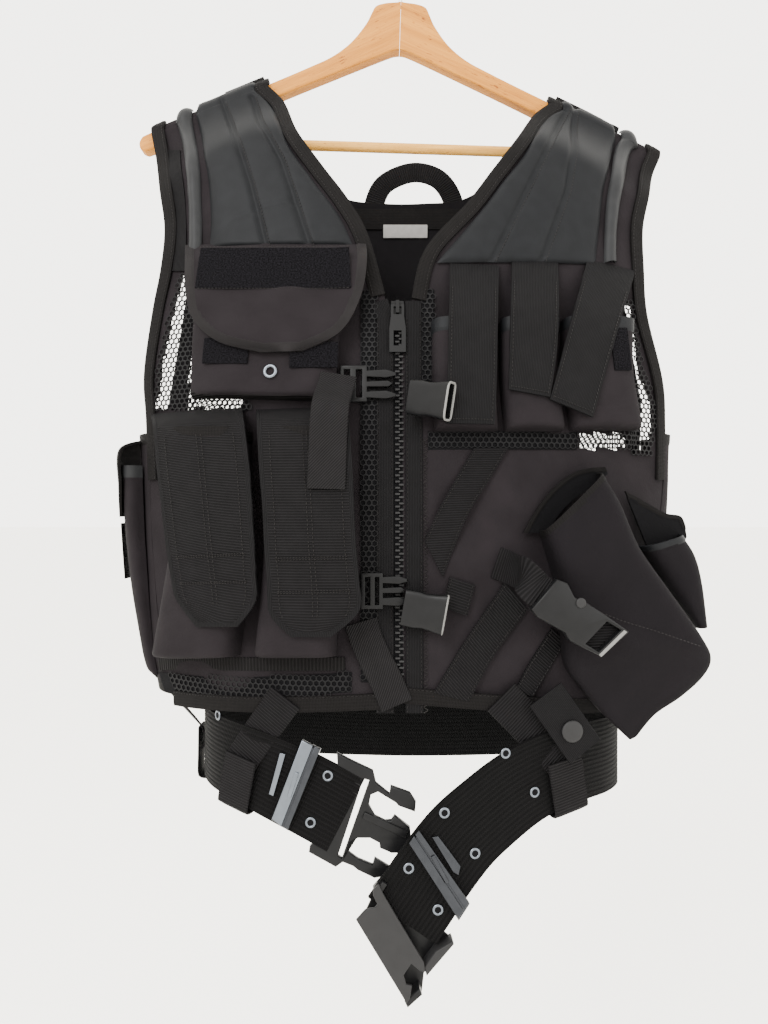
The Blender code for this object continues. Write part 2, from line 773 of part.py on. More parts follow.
def build_shoulders():
    pads = (
        ("shoulder_pad_left", PAD_LEFT_TOP, PAD_LEFT_ROWS, 5, 0.0052),
        ("shoulder_rib_left", RIB_LEFT_TOP, RIB_LEFT_ROWS, 2, 0.0062),
        ("shoulder_pad_right", PAD_RIGHT_TOP, PAD_RIGHT_ROWS, 5, 0.0052),
        ("shoulder_rib_right", RIB_RIGHT_TOP, RIB_RIGHT_ROWS, 2, 0.0062),
    )
    for name, top, rows, across, thickness in pads:
        table = with_shoulder(top, rows)
        bent_block(name, "grey_hide", between_edges(table), across, 2 * (len(table) - 1),
                   even_lift(PAD_OVERLAY, thickness, 0.5))
    straps = (("shoulder_strap_left", -0.176, -0.150), ("shoulder_strap_right", 0.160, 0.186))
    for name, left, right in straps:
        rows = []
        for drop in SHOULDER_DROPS + (0.030, 0.055, 0.080):
            rows.append((left, ridge_height(left) - drop, right, ridge_height(right) - drop))
        bent_block(name, "black_tape", between_edges(rows), 2, 2 * (len(rows) - 1),
                   even_lift(OVERLAY, OVERLAY + 0.0030), spot=back_spot, facing=1)


def edge_tape(name, top, rows, column, inset):
    """Binding along one edge of a front panel, from the shoulder line down."""
    path = []
    for drop in SHOULDER_DROPS:
        path.append(front_spot(top + inset, ridge_height(top + inset) - drop, OVERLAY))
    last = len(rows) - 1
    for step in range(2 * last + 1):
        row = blend_rows(rows, step / (2 * last))
        path.append(front_spot(row[column] + inset, row[column + 1], OVERLAY))
    ribbon(name, "black_tape", path, BINDING_WIDTH, TAPE)


def build_bindings():
    left = with_shoulder(FRONT_LEFT_TOP, FRONT_LEFT_ROWS)
    right = with_shoulder(FRONT_RIGHT_TOP, FRONT_RIGHT_ROWS)
    edge_tape("neck_binding_left", FRONT_LEFT_TOP[1], FRONT_LEFT_ROWS[:6], 2, -0.0056)
    edge_tape("armhole_binding_left", FRONT_LEFT_TOP[0], FRONT_LEFT_ROWS[:8], 0, 0.0052)
    edge_tape("neck_binding_right", FRONT_RIGHT_TOP[0], FRONT_RIGHT_ROWS[:6], 0, 0.0056)
    edge_tape("armhole_binding_right", FRONT_RIGHT_TOP[1], FRONT_RIGHT_ROWS[:8], 2, -0.0052)
    for name, rows in (("hem_binding_left", left), ("hem_binding_right", right)):
        left_x, left_z, right_x, right_z = rows[-1]
        path = []
        for step in range(11):
            share = 0.01 + 0.98 * step / 10
            x = left_x + (right_x - left_x) * share
            z = left_z + (right_z - left_z) * share
            path.append(front_spot(x, z + BINDING_WIDTH / 2, OVERLAY))
        ribbon(name, "black_tape", path, BINDING_WIDTH, TAPE)


def strip(name, finish, left, right, heights, inner, outer):
    """An upright strip between two x on the front."""
    rows = [(left, z, right, z) for z in heights]
    bent_block(name, finish, between_edges(rows), 1, len(rows) - 1, even_lift(inner, outer))


def build_zip():
    heights = [PLACKET_TOP + (PLACKET_BOTTOM - PLACKET_TOP) * step / 12 for step in range(13)]
    strip("zip_placket_left", "black_tape", -0.0225, -0.0105, heights, OVERLAY, OVERLAY + TAPE)
    strip("zip_placket_right", "black_tape", -0.0019, 0.0098, heights, OVERLAY, OVERLAY + TAPE)
    heights = [ZIP_TOP + (ZIP_BOTTOM - ZIP_TOP) * step / 9 for step in range(10)]
    strip("zip_chain", "black_plastic", ZIP_X - ZIP_HALF, ZIP_X + ZIP_HALF, heights, -CLOTH, 0.0004)
    seat, normal = front_spot(ZIP_X, PULL_PIVOT_Z, 0.0)
    slider = block("zip_slider", "black_plastic", (0.0095, 0.0042, 0.0160))
    slider.location = (ZIP_X, seat.y + 0.0004, PULL_PIVOT_Z - 0.0040)
    loop = [(-0.0014, 0.0036), (-0.0062, 0.0036), (-0.0062, -0.0058), (-0.0014, -0.0058)]
    hole = [(0.0010, 0.0020), (-0.0046, 0.0020), (-0.0046, -0.0042), (0.0010, -0.0042)]
    bridge = flat_piece("slider_bridge", "black_plastic", [bridge_outline(loop, hole)], 0.0026)
    bridge.rotation_euler = (0.0, 0.0, math.pi / 2)
    bridge.location = (ZIP_X, seat.y, PULL_PIVOT_Z)
    cut_from(slider, bridge, "UNION")
    outline = [(-0.0050, 0.0010), (-0.0050, -0.0090), (-0.0062, -0.0180), (-0.0062, -0.0370),
               (0.0062, -0.0370), (0.0062, -0.0180), (0.0050, -0.0090), (0.0050, 0.0010)]
    eye = [(-0.0030, -0.0008), (0.0030, -0.0008), (0.0030, -0.0070), (-0.0030, -0.0070)]
    window = [(-0.0030, -0.0200), (0.0030, -0.0200), (0.0030, -0.0320), (-0.0030, -0.0320)]
    pull = flat_piece("zip_pull", "black_plastic", [outline, eye, window], 0.0016)
    pull.location = (ZIP_X, seat.y - 0.0030, PULL_PIVOT_Z)
    pull.rotation_euler = (-PULL_LEAN, 0.0, 0.0)


def bridge_outline(loop, hole):
    """A C shape open towards the slider, as one outline."""
    return [(0.0, loop[0][1]), loop[1], loop[2], (0.0, loop[3][1]), (0.0, hole[3][1]), hole[2], hole[1],
            (0.0, hole[0][1])]


def build_left_pouches():
    bent_block("id_pouch", "black_cloth", between_edges(ID_POUCH_ROWS), 6, 4,
               even_lift(OVERLAY, 0.0135, 0.25), open_top=True)
    bent_block("id_flap", "black_cloth", between_edges(ID_FLAP_ROWS), 7, len(ID_FLAP_ROWS) - 1,
               row_lift((OVERLAY, 0.0146, 0.0144, 0.0144, 0.0144, 0.0144, 0.0144), 0.0026))
    for number, (body, flap) in enumerate(zip(MAG_POUCH_ROWS, MAG_FLAP_ROWS), start=1):
        bent_block("mag_pouch_%d" % number, "black_cloth", between_edges(body), 4, 6,
                   even_lift(OVERLAY, 0.0270, 0.12), open_top=True)
        bent_block("mag_flap_%d" % number, "black_tape", between_edges(flap), 4, len(flap) - 1,
                   row_lift((OVERLAY, 0.0280, 0.0278, 0.0278, 0.0278, 0.0278, 0.0278), 0.0022))
    heights = (-0.458, -0.485, -0.515, -0.545, -0.575, -0.600, -0.624)
    side_block("side_pouch", "black_cloth", -1, (0.12, 0.88), heights, 6,
               even_lift(SIDE_OVERLAY, 0.0160, 0.35), open_top=True)
    side_block("side_flap", "black_cloth", -1, (0.16, 0.84), (-0.438, -0.446, -0.475, -0.500), 5,
               row_lift((SIDE_OVERLAY, 0.0170, 0.0170, 0.0170), 0.0022))


def build_right_pouches():
    for number, (body, flap) in enumerate(zip(SMALL_POUCH_ROWS, SMALL_FLAP_ROWS), start=1):
        bent_block("small_pouch_%d" % number, "black_cloth", between_edges(body), 3, 4,
                   even_lift(OVERLAY, 0.0180, 0.20), open_top=True)
        bent_block("small_flap_%d" % number, "black_tape", between_edges(flap), 2, 6,
                   row_lift((OVERLAY, 0.0188, 0.0188, 0.0188), 0.0020))
    for number, rows in enumerate(WEBBING_ROWS, start=1):
        bent_block("webbing_%d" % number, "black_tape", between_edges(rows), 2, 6,
                   even_lift(OVERLAY, OVERLAY + 0.0014))


def holster_spot(x, z, lift):
    return Vector((x, -(HOLSTER_BACK - HOLSTER_LEAN * (x - HOLSTER_INNER_X)) - lift, z)), None


def pocket_spot(x, z, lift):
    back = HOLSTER_POCKET_BACK - HOLSTER_POCKET_LEAN * (x - HOLSTER_POCKET_ROWS[0][0])
    return Vector((x, -back - lift, z)), None


def build_holster():
    def holster_lift(across, down):
        thick = blend_rows(HOLSTER_ROWS, down)[4]
        return 0.0, thick * (1 - 0.45 * abs(2 * across - 1) ** 3)

    bent_block("holster", "black_cloth", between_edges(HOLSTER_ROWS), 6, len(HOLSTER_ROWS) - 1,
               holster_lift, spot=holster_spot, open_top=True)
    bent_block("holster_pocket", "black_cloth", between_edges(HOLSTER_POCKET_ROWS), 3, 3,
               even_lift(0.0, HOLSTER_POCKET_THICKNESS, 0.3),
               spot=pocket_spot, open_top=True)
    along = Vector((math.cos(math.radians(34)), 0.0, -math.sin(math.radians(34))))
    outward = Vector((0.10, -1.0, 0.0))
    buckle = flat_piece("holster_buckle", "black_plastic", [side_release_outline(0.058, 0.027)], 0.0100)
    centre = Vector((0.1170, -0.1376, -0.5600))
    place_in_frame(buckle, centre, along, outward)
    start = centre - along * 0.0294
    path = [
        (Vector((0.0660, -0.1015, -0.5330)), Vector((-0.2, -1.0, 0.0))),
        (Vector((0.0740, -0.1070, -0.5360)), Vector((-0.6, -1.0, 0.0))),
        (Vector((0.0800, -0.1190, -0.5390)), Vector((-1.0, -0.5, 0.0))),
        (Vector((0.0815, -0.1300, -0.5390)), Vector((-1.0, -0.7, 0.0))),
        (start - along * 0.0060, outward),
        (start, outward),
    ]
    ribbon("holster_strap", "black_tape", path, 0.0240, 0.0016)


def side_release_outline(length, width):
    """Outline of a closed side-release buckle, with its two finger bays."""
    half = length / 2
    top = width / 2
    upper = [
        (-half, top * 0.86),
        (-half * 0.30, top * 0.92),
        (-half * 0.22, top * 0.62),
        (half * 0.25, top * 0.62),
        (half * 0.35, top),
        (half, top * 0.95),
    ]
    lower = [(x, -z) for x, z in reversed(upper)]
    return (upper + lower)[::-1]


def plug_outline(frame, width, reach, prongs):
    """Outline of a buckle's plug: a frame with prongs along +x."""
    half = width / 2
    right = [(0.0, -half), (frame, -half)]
    for middle, half_prong in prongs:
        right += [
            (frame, middle - half_prong),
            (reach * 0.80, middle - half_prong),
            (reach, middle - half_prong * 0.45),
            (reach, middle + half_prong * 0.45),
            (reach * 0.80, middle + half_prong),
            (frame, middle + half_prong),
        ]
    return right + [(frame, half), (0.0, half)]


def build_chest_buckles():
    prongs = ((-0.0105, 0.0022), (0.0, 0.0026), (0.0105, 0.0022))
    plugs = (
        ("upper_plug", -0.0495, -0.4045, 4.0, 0.0190, 0.0385),
        ("lower_plug", -0.0350, -0.5500, 2.0, 0.0120, 0.0300),
    )
    for name, x, z, tilt, frame, reach in plugs:
        loops = [plug_outline(frame, 0.0290, reach, prongs)]
        for low, high in ((0.18 * frame, 0.40 * frame), (0.60 * frame, 0.82 * frame)):
            loops.append([(low, -0.0125), (low, 0.0125), (high, 0.0125), (high, -0.0125)])
        plug = flat_piece(name, "black_plastic", loops, PLUG_THICKNESS)
        lift = OVERLAY + TAPE + OVERLAY + PLUG_THICKNESS / 2
        point, normal = front_spot(x, z, lift)
        ahead = front_spot(x + reach, z - reach * math.tan(math.radians(tilt)), lift)[0]
        place_in_frame(plug, point, ahead - point, normal)
    sockets = (("upper_socket", (0.0167, -0.1123, -0.4150), 36.0, (0.0330, 0.0110, 0.0280)),
               ("lower_socket", (0.0125, -0.1134, -0.5670), 8.0, (0.0300, 0.0110, 0.0290)))
    for name, place, yaw, size in sockets:
        socket = open_box(name, "black_plastic", size, 0.0016, ("+x", "-x"))
        socket.location = place
        socket.rotation_euler = (0.0, math.radians(10), -math.radians(yaw))


def front_band(name, points, width, thickness):
    """A loose strap in front of the vest: x, z and lift of each point."""
    path = []
    for x, z, lift in points:
        path.append(front_spot(x, z, lift))
    ribbon(name, "black_tape", path, width, thickness)


def build_chest_straps():
    upper = ((-0.0490, -0.3980, 0.0145), (-0.0505, -0.4070, 0.0180), (-0.0520, -0.4165, 0.0250),
             (-0.0530, -0.4260, 0.0304), (-0.0540, -0.4450, 0.0307), (-0.0545, -0.4650, 0.0308),
             (-0.0550, -0.4820, 0.0309))
    lower = ((-0.0270, -0.5760, 0.0024), (-0.0225, -0.5900, 0.0024), (-0.0155, -0.6050, 0.0024),
             (-0.0080, -0.6200, 0.0024), (-0.0010, -0.6360, 0.0024))
    front_band("upper_strap", upper, 0.0270, 0.0014)
    front_band("lower_strap", lower, 0.0240, 0.0014)


def belt_path():
    path = []
    for x, y, z, face_x, face_y, face_z in BELT_ROWS:
        path.append((Vector((x, y, z)), Vector((face_x, face_y, face_z)).normalized()))
    return path


def build_belt():
    path = belt_path()
    ribbon("belt", "belt_web", path, BELT_WIDTH, BELT_THICKNESS)
    frames = path_frames(path)
    for name, index in (("keeper_left", 2), ("keeper_right", 29)):
        point, along, normal, side = frames[index]
        keeper = open_box(name, "black_plastic", (0.0110, 0.0078, BELT_WIDTH + 0.0066), 0.0014, ("+x", "-x"))
        place_in_frame(keeper, point + normal * (BELT_THICKNESS / 2), along, normal)
    prongs = ((-0.0225, 0.0048), (0.0, 0.0080), (0.0225, 0.0048))
    loops = [plug_outline(0.0150, 0.0640, 0.0500, prongs)]
    loops.append([(0.0045, -0.0290), (0.0045, 0.0290), (0.0100, 0.0290), (0.0100, -0.0290)])
    plug = flat_piece("belt_plug", "black_plastic", loops, 0.0052)
    point, along, normal, side = frames[0]
    place_in_frame(plug, point + normal * (BELT_THICKNESS / 2) - along * 0.0005, -along, normal)
    point, along, normal, side = frames[-1]
    socket = open_box("belt_socket", "black_plastic", (0.0440, 0.0130, 0.0680), 0.0020, ("+x",))
    place_in_frame(socket, point + normal * (BELT_THICKNESS / 2) + along * 0.0225, along, normal)
    return frames


def hem_height(x):
    """Height of the front hem over x."""
    left_x, left_z, right_x, right_z = (FRONT_LEFT_ROWS if x < 0 else FRONT_RIGHT_ROWS)[-1]
    return left_z + (right_z - left_z) * (x - left_x) / (right_x - left_x)


def belt_loop(name, frame, top, width, bow):
    """A strap from the cloth at top, down over the belt, under it and up behind it."""
    point, along, normal, side = frame
    up = side if side.z > 0 else -side
    half = BELT_WIDTH / 2
    low = half + 0.0032
    outer = point + normal * (BELT_THICKNESS + 0.0014)
    inner = point - normal * bow
    corner = normal * (outer - inner).length * 0.2
    path = list(top) + [
        (outer + up * (half + 0.001), normal),
        (outer, normal),
        (outer - up * half, normal),
        (outer - up * low - corner, (normal - up).normalized()),
        (inner - up * low + corner, (-normal - up).normalized()),
        (inner - up * half, -normal),
        (inner, -normal),
        (inner + up * (half - 0.002), -normal),
    ]
    ribbon(name, "black_tape", path, width, LOOP_THICKNESS)


def build_loops(frames):
    lift = OVERLAY + TAPE + OVERLAY
    for name, index, top_x, width, bow in (("belt_loop_left", 4, -0.0980, 0.0260, 0.0038),
                                           ("belt_loop_right", 24, 0.0980, 0.0300, 0.0034)):
        hem = hem_height(top_x)
        top = [front_spot(top_x, hem + step, lift) for step in (0.014, 0.002)]
        belt_loop(name, frames[index], top, width, bow)
    hem = SIDE_ROWS[-1]
    top = [side_spot(-1, 0.5, hem + step, SIDE_OVERLAY) for step in (0.014, 0.004, -0.009)]
    belt_loop("belt_loop_side", frames[8], top, 0.0220, 0.0042)


def build_handle():
    rows = ((-0.0255, -0.232), (-0.0250, -0.214), (-0.0150, -0.196), (0.0100, -0.186), (0.0330, -0.192),
            (0.0460, -0.211), (0.0465, -0.232))
    path = []
    for x, z in rows:
        point, normal = back_spot(x, HANDLE_SEAT_Z, OVERLAY)
        path.append((Vector((x, point.y, z)), Vector((0.0, 1.0, 0.0))))
    ribbon("drag_handle", "black_tape", path, 0.0180, 0.0022)


def build():
    build_hanger()
    build_cloth()
    build_shoulders()
    build_bindings()
    build_zip()
    build_left_pouches()
    build_right_pouches()
    build_holster()
    build_chest_buckles()
    build_chest_straps()
    frames = build_belt()
    build_loops(frames)
    build_handle()


build()
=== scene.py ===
"""Looks of a load-bearing tactical vest that hangs on a wooden coat hanger.

Metres, +Z up, the front faces -Y. The cloth surfaces come from the same tables as the solids.
Places marked px, py are seen from the camera, in its 768 by 1024 picture.
"""
import math

import bmesh
import bpy
import numpy as np
from mathutils import Matrix, Vector


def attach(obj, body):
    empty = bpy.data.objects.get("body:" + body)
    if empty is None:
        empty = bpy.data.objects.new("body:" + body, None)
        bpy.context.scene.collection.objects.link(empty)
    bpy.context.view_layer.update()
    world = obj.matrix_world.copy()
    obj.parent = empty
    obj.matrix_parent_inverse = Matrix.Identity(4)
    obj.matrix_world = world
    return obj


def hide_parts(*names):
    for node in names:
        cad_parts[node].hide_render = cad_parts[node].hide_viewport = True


CAMERA = np.array((-0.0164, -0.665, -0.496))
FOCAL = 769.0
MIDDLE_X = 384
MIDDLE_Y = 512
FRONT = np.array((0.0, -1.0, 0.2))
BACK = np.array((0.0, 1.0, 0.2))

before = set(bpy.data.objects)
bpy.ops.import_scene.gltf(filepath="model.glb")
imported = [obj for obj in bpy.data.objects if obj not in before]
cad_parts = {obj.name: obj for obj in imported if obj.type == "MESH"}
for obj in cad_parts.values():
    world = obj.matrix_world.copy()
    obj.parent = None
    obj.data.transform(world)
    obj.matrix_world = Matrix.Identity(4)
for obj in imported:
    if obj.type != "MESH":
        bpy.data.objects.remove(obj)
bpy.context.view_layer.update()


def add_camera():
    data = bpy.data.cameras.new("camera")
    data.lens = 27.03
    data.sensor_width = 36.0
    camera = bpy.data.objects.new("camera", data)
    camera.location = CAMERA
    camera.rotation_euler = (math.pi / 2, 0.0, 0.0)
    bpy.context.scene.collection.objects.link(camera)
    bpy.context.scene.camera = camera


add_camera()


# The hanger.
HANGER_ROLL = math.radians(1.8)
HANGER_THICKNESS = 0.012
BAR_DROP = 0.1815
BAR_RADIUS = 0.0043
BAR_HALF = 0.18
HOOK_RADIUS = 0.0225
HOOK_WIRE = 0.0016

# The cloth body.
CLOTH_SHOWN = 0.0024 * 0.7
SIDE_SEAM = 0.001
OVERLAY = 0.0008
PAD_OVERLAY = 0.0013
SIDE_OVERLAY = 0.0012
TAPE = 0.0012
WALL = 0.0016
RIDGE_RADIUS = 0.0098
RIDGE_EASE = 0.07
HALF_WIDTH = 0.205
SIDE_POWER = 3

# The zip.
ZIP_TOP = -0.3525
ZIP_BOTTOM = -0.636


# The belt.
BELT_WIDTH = 0.057
BELT_THICKNESS = 0.0026


# Shoulder line: a point on it and its slope, on each side.
RIDGE_LEFT = (-0.1231, -0.1282, 0.4107)
RIDGE_RIGHT = (0.1148, -0.1357, -0.4862)

# Height, depth in the middle, depth at HALF_WIDTH, all from the hanger's plane.
FRONT_DEPTH = (
    (-0.127, 0.015, 0.01), (-0.19, 0.045, 0.024), (-0.29, 0.072, 0.038), (-0.35, 0.082, 0.042),
    (-0.44, 0.095, 0.043), (-0.54, 0.102, 0.041), (-0.64, 0.106, 0.038), (-0.7, 0.106, 0.038),
)
BACK_DEPTH = (
    (-0.127, 0.012, 0.01), (-0.22, 0.034, 0.014), (-0.35, 0.046, 0.018), (-0.5, 0.05, 0.02),
    (-0.7, 0.046, 0.02),
)

# How far below the shoulder line the first rows of cloth lie.
SHOULDER_DROPS = (0.0004, 0.0014, 0.0049, 0.0098)

# Front panels: x and z of the left edge, x and z of the right edge.
FRONT_LEFT_TOP = (-0.213, -0.115)
FRONT_LEFT_ROWS = (
    (-0.206, -0.2, -0.1, -0.155), (-0.199, -0.232, -0.086, -0.192), (-0.193, -0.266, -0.064, -0.226),
    (-0.195, -0.3, -0.044, -0.255), (-0.202, -0.335, -0.029, -0.284), (-0.21, -0.384, -0.016, -0.332),
    (-0.208, -0.42, -0.0098, -0.38), (-0.206, -0.47, -0.0098, -0.44), (-0.204, -0.52, -0.0098, -0.5),
    (-0.199, -0.57, -0.0098, -0.56), (-0.193, -0.612, -0.0098, -0.602), (-0.181, -0.647, -0.0098, -0.638),
)
FRONT_RIGHT_TOP = (0.124, 0.217)
FRONT_RIGHT_ROWS = (
    (0.108, -0.168, 0.208, -0.212), (0.09, -0.199, 0.2, -0.236), (0.068, -0.23, 0.192, -0.266),
    (0.048, -0.258, 0.191, -0.3), (0.015, -0.297, 0.193, -0.339), (0.005, -0.335, 0.208, -0.39),
    (-0.0026, -0.38, 0.211, -0.425), (-0.0026, -0.44, 0.211, -0.47), (-0.0026, -0.5, 0.205, -0.52),
    (-0.0026, -0.56, 0.198, -0.57), (-0.0026, -0.6, 0.19, -0.615), (-0.0026, -0.634, 0.177, -0.65),
)

# Back panel: x of each column at the shoulder line.
BACK_COLUMNS = (
    -0.213, -0.19, -0.165, -0.14, -0.115, -0.088, -0.055, -0.018, 0.02, 0.058, 0.092, 0.124, 0.148, 0.172,
    0.195, 0.217,
)
# Neck opening cut from the back panel.
BACK_NECK = (
    (-0.115, -0.06), (-0.115, -0.138), (-0.104, -0.158), (-0.088, -0.19), (-0.055, -0.212),
    (-0.018, -0.217), (0.02, -0.217), (0.058, -0.213), (0.092, -0.192), (0.112, -0.164), (0.124, -0.148),
    (0.124, -0.06),
)
# Height and how much narrower than the shoulders the back is there.
BACK_WIDTH = (
    (-0.165, 1.0), (-0.23, 0.925), (-0.28, 0.89), (-0.34, 0.93), (-0.4, 0.975), (-0.47, 0.965),
    (-0.56, 0.925), (-0.65, 0.85),
)
BACK_ROWS = (-0.255, -0.3, -0.345, -0.39, -0.43, -0.48, -0.53, -0.58, -0.615, -0.646)


# Sides, from the bottom of the armhole to the hem: height of each row.
SIDE_ROWS = (-0.432, -0.445, -0.47, -0.495, -0.52, -0.545, -0.57, -0.591, -0.612, -0.6295, -0.64)

PAD_LEFT_TOP = (-0.1757, -0.125)
PAD_RIGHT_TOP = (0.1345, 0.18)
RIB_LEFT_TOP = (-0.193, -0.1795)
RIB_RIGHT_TOP = (0.185, 0.199)

# Pouches: x and z of the left edge, x and z of the right edge, top to bottom.
ID_POUCH_ROWS = (
    (-0.16, -0.306, -0.05, -0.31), (-0.163, -0.36, -0.05, -0.365), (-0.163, -0.408, -0.0525, -0.414),
)

# Holster: depth at its inner edge and how much that changes over x.
HOLSTER_BACK = 0.0978
HOLSTER_LEAN = 0.13
HOLSTER_INNER_X = 0.08
HOLSTER_POCKET_INNER_X = 0.1526
HOLSTER_POCKET_BACK = 0.0778
HOLSTER_POCKET_LEAN = 0.33
HOLSTER_POCKET_THICKNESS = 0.018

# Belt: middle of the web, then the way its outer face looks.
BELT_ROWS = (
    (-0.044, -0.111, -0.714, 0.0, -1.0, 0.06), (-0.064, -0.11, -0.7035, -0.05, -1.0, 0.06),
    (-0.083, -0.108, -0.6945, -0.1, -1.0, 0.06), (-0.102, -0.104, -0.687, -0.25, -1.0, 0.04),
    (-0.119, -0.097, -0.682, -0.45, -1.0, 0.0), (-0.135, -0.086, -0.679, -0.7, -0.8, 0.0),
    (-0.148, -0.07, -0.678, -0.9, -0.5, 0.0), (-0.157, -0.05, -0.678, -1.0, -0.25, 0.0),
    (-0.161, -0.028, -0.679, -1.0, 0.0, 0.0), (-0.159, -0.006, -0.68, -1.0, 0.25, 0.0),
    (-0.15, 0.013, -0.681, -0.8, 0.6, 0.0), (-0.133, 0.027, -0.683, -0.45, 1.0, 0.0),
    (-0.105, 0.037, -0.686, -0.15, 1.0, 0.0), (-0.055, 0.043, -0.69, -0.05, 1.0, 0.0),
    (0.0, 0.045, -0.692, 0.0, 1.0, 0.0), (0.055, 0.043, -0.691, 0.05, 1.0, 0.0),
    (0.105, 0.037, -0.688, 0.15, 1.0, 0.0), (0.14, 0.025, -0.686, 0.5, 1.0, 0.0),
    (0.16, 0.009, -0.687, 0.85, 0.6, 0.0), (0.17, -0.013, -0.686, 1.0, 0.2, 0.0),
    (0.171, -0.036, -0.684, 1.0, -0.15, 0.0), (0.165, -0.057, -0.682, 1.0, -0.5, 0.0),
    (0.152, -0.076, -0.681, 0.8, -0.8, 0.0), (0.134, -0.09, -0.681, 0.55, -1.0, 0.0),
    (0.114, -0.1, -0.683, 0.35, -1.0, 0.0), (0.095, -0.108, -0.688, 0.25, -1.0, 0.0),
    (0.077, -0.114, -0.696, 0.18, -1.0, 0.0), (0.057, -0.12, -0.709, 0.15, -1.0, 0.0),
    (0.038, -0.125, -0.724, 0.1, -1.0, 0.0), (0.021, -0.128, -0.744, 0.08, -1.0, 0.0),
    (0.006, -0.13, -0.765, 0.05, -1.0, 0.0),
)


# Shape of the cloth body.

def shares(count):
    """Even steps from 0 to 1."""
    return np.linspace(0.0, 1.0, count)


def run_along(points):
    """Metres along a line at each of its points."""
    return np.concatenate([[0.0], np.cumsum(np.linalg.norm(np.diff(points, axis=0), axis=1))])


def smooth_table(rows, at):
    """Values of a table at shares of the way down it, curved between its rows."""
    rows = np.asarray(rows, float)
    place = np.clip(at, 0.0, 1.0) * (len(rows) - 1)
    first = np.clip(place.astype(int), 0, len(rows) - 2)
    t = (place - first)[..., None]
    a = rows[np.maximum(first - 1, 0)]
    b = rows[first]
    c = rows[first + 1]
    d = rows[np.minimum(first + 2, len(rows) - 1)]
    return b + 0.5 * t * (c - a + t * (2 * a - 5 * b + 4 * c - d + t * (3 * (b - c) + d - a)))


def dense(rows):
    """A table of height and values, curved and finely stepped, lowest height first."""
    return smooth_table(rows, shares(240))[::-1]


FRONT_SHAPE = dense(FRONT_DEPTH)
BACK_SHAPE = dense(BACK_DEPTH)


def unit(way):
    way = np.asarray(way, float)
    return way / np.maximum(np.linalg.norm(way, axis=-1, keepdims=True), 1e-9)


def vectors(*parts):
    return np.stack(np.broadcast_arrays(*[np.asarray(part, float) for part in parts]), axis=-1)


def ridge(x):
    """Height and slope of the shoulder line over x."""
    heights = [height + slope * (x - across) for across, height, slope in (RIDGE_LEFT, RIDGE_RIGHT)]
    slope = np.where(heights[0] < heights[1], RIDGE_LEFT[2], RIDGE_RIGHT[2])
    return np.minimum(*heights), slope


def depth(shape, x, z):
    """How far the cloth stands from the hanger's plane."""
    middle = np.interp(z, shape[:, 0], shape[:, 1])
    side = np.interp(z, shape[:, 0], shape[:, 2])
    full = middle + (side - middle) * np.minimum(1.1, np.abs(x) / HALF_WIDTH) ** SIDE_POWER
    drop = np.maximum(0.0, ridge(x)[0] - z)
    near = np.minimum(drop, RIDGE_RADIUS)
    corner = np.sqrt(np.maximum(0.0, RIDGE_RADIUS ** 2 - (RIDGE_RADIUS - near) ** 2))
    ease = np.minimum(1.0, drop / RIDGE_EASE)
    ease = ease * ease * (3 - 2 * ease)
    return corner + np.maximum(0.0, full - RIDGE_RADIUS) * ease


def cloth_spot(shape, facing, x, z, lift):
    """Points lifted off the cloth, and the way the cloth looks there."""
    x, z, lift = np.broadcast_arrays(*[np.asarray(value, float) for value in (x, z, lift)])
    crest, slope = ridge(x)
    drop = crest - z
    turn = np.arccos(np.clip(1 - drop / RIDGE_RADIUS, -1.0, 1.0))
    round_way = vectors(0.0, facing * np.sin(turn), np.cos(turn))
    over_way = unit(vectors(-slope * np.cos(turn), round_way[..., 1], round_way[..., 2]))
    over = vectors(x, 0.0, crest - RIDGE_RADIUS) + round_way * RIDGE_RADIUS
    step = 0.004
    slope_x = (depth(shape, x + step, z) - depth(shape, x - step, z)) / (2 * step)
    upper = np.maximum(depth(shape, x, z + step), RIDGE_RADIUS)
    slope_z = (upper - depth(shape, x, z - step)) / (2 * step)
    flat_way = unit(vectors(-slope_x, facing, -slope_z))
    flat = vectors(x, facing * depth(shape, x, z), z)
    bent = (drop < RIDGE_RADIUS)[..., None]
    normal = np.where(bent, over_way, flat_way)
    return np.where(bent, over, flat) + normal * lift[..., None], normal


def front_spot(x, z, lift):
    return cloth_spot(FRONT_SHAPE, -1, x, z, lift)


def back_spot(x, z, lift):
    return cloth_spot(BACK_SHAPE, 1, x, z, lift)


def back_width(z):
    rows = np.array(BACK_WIDTH)[::-1]
    return np.interp(z, rows[:, 0], rows[:, 1])


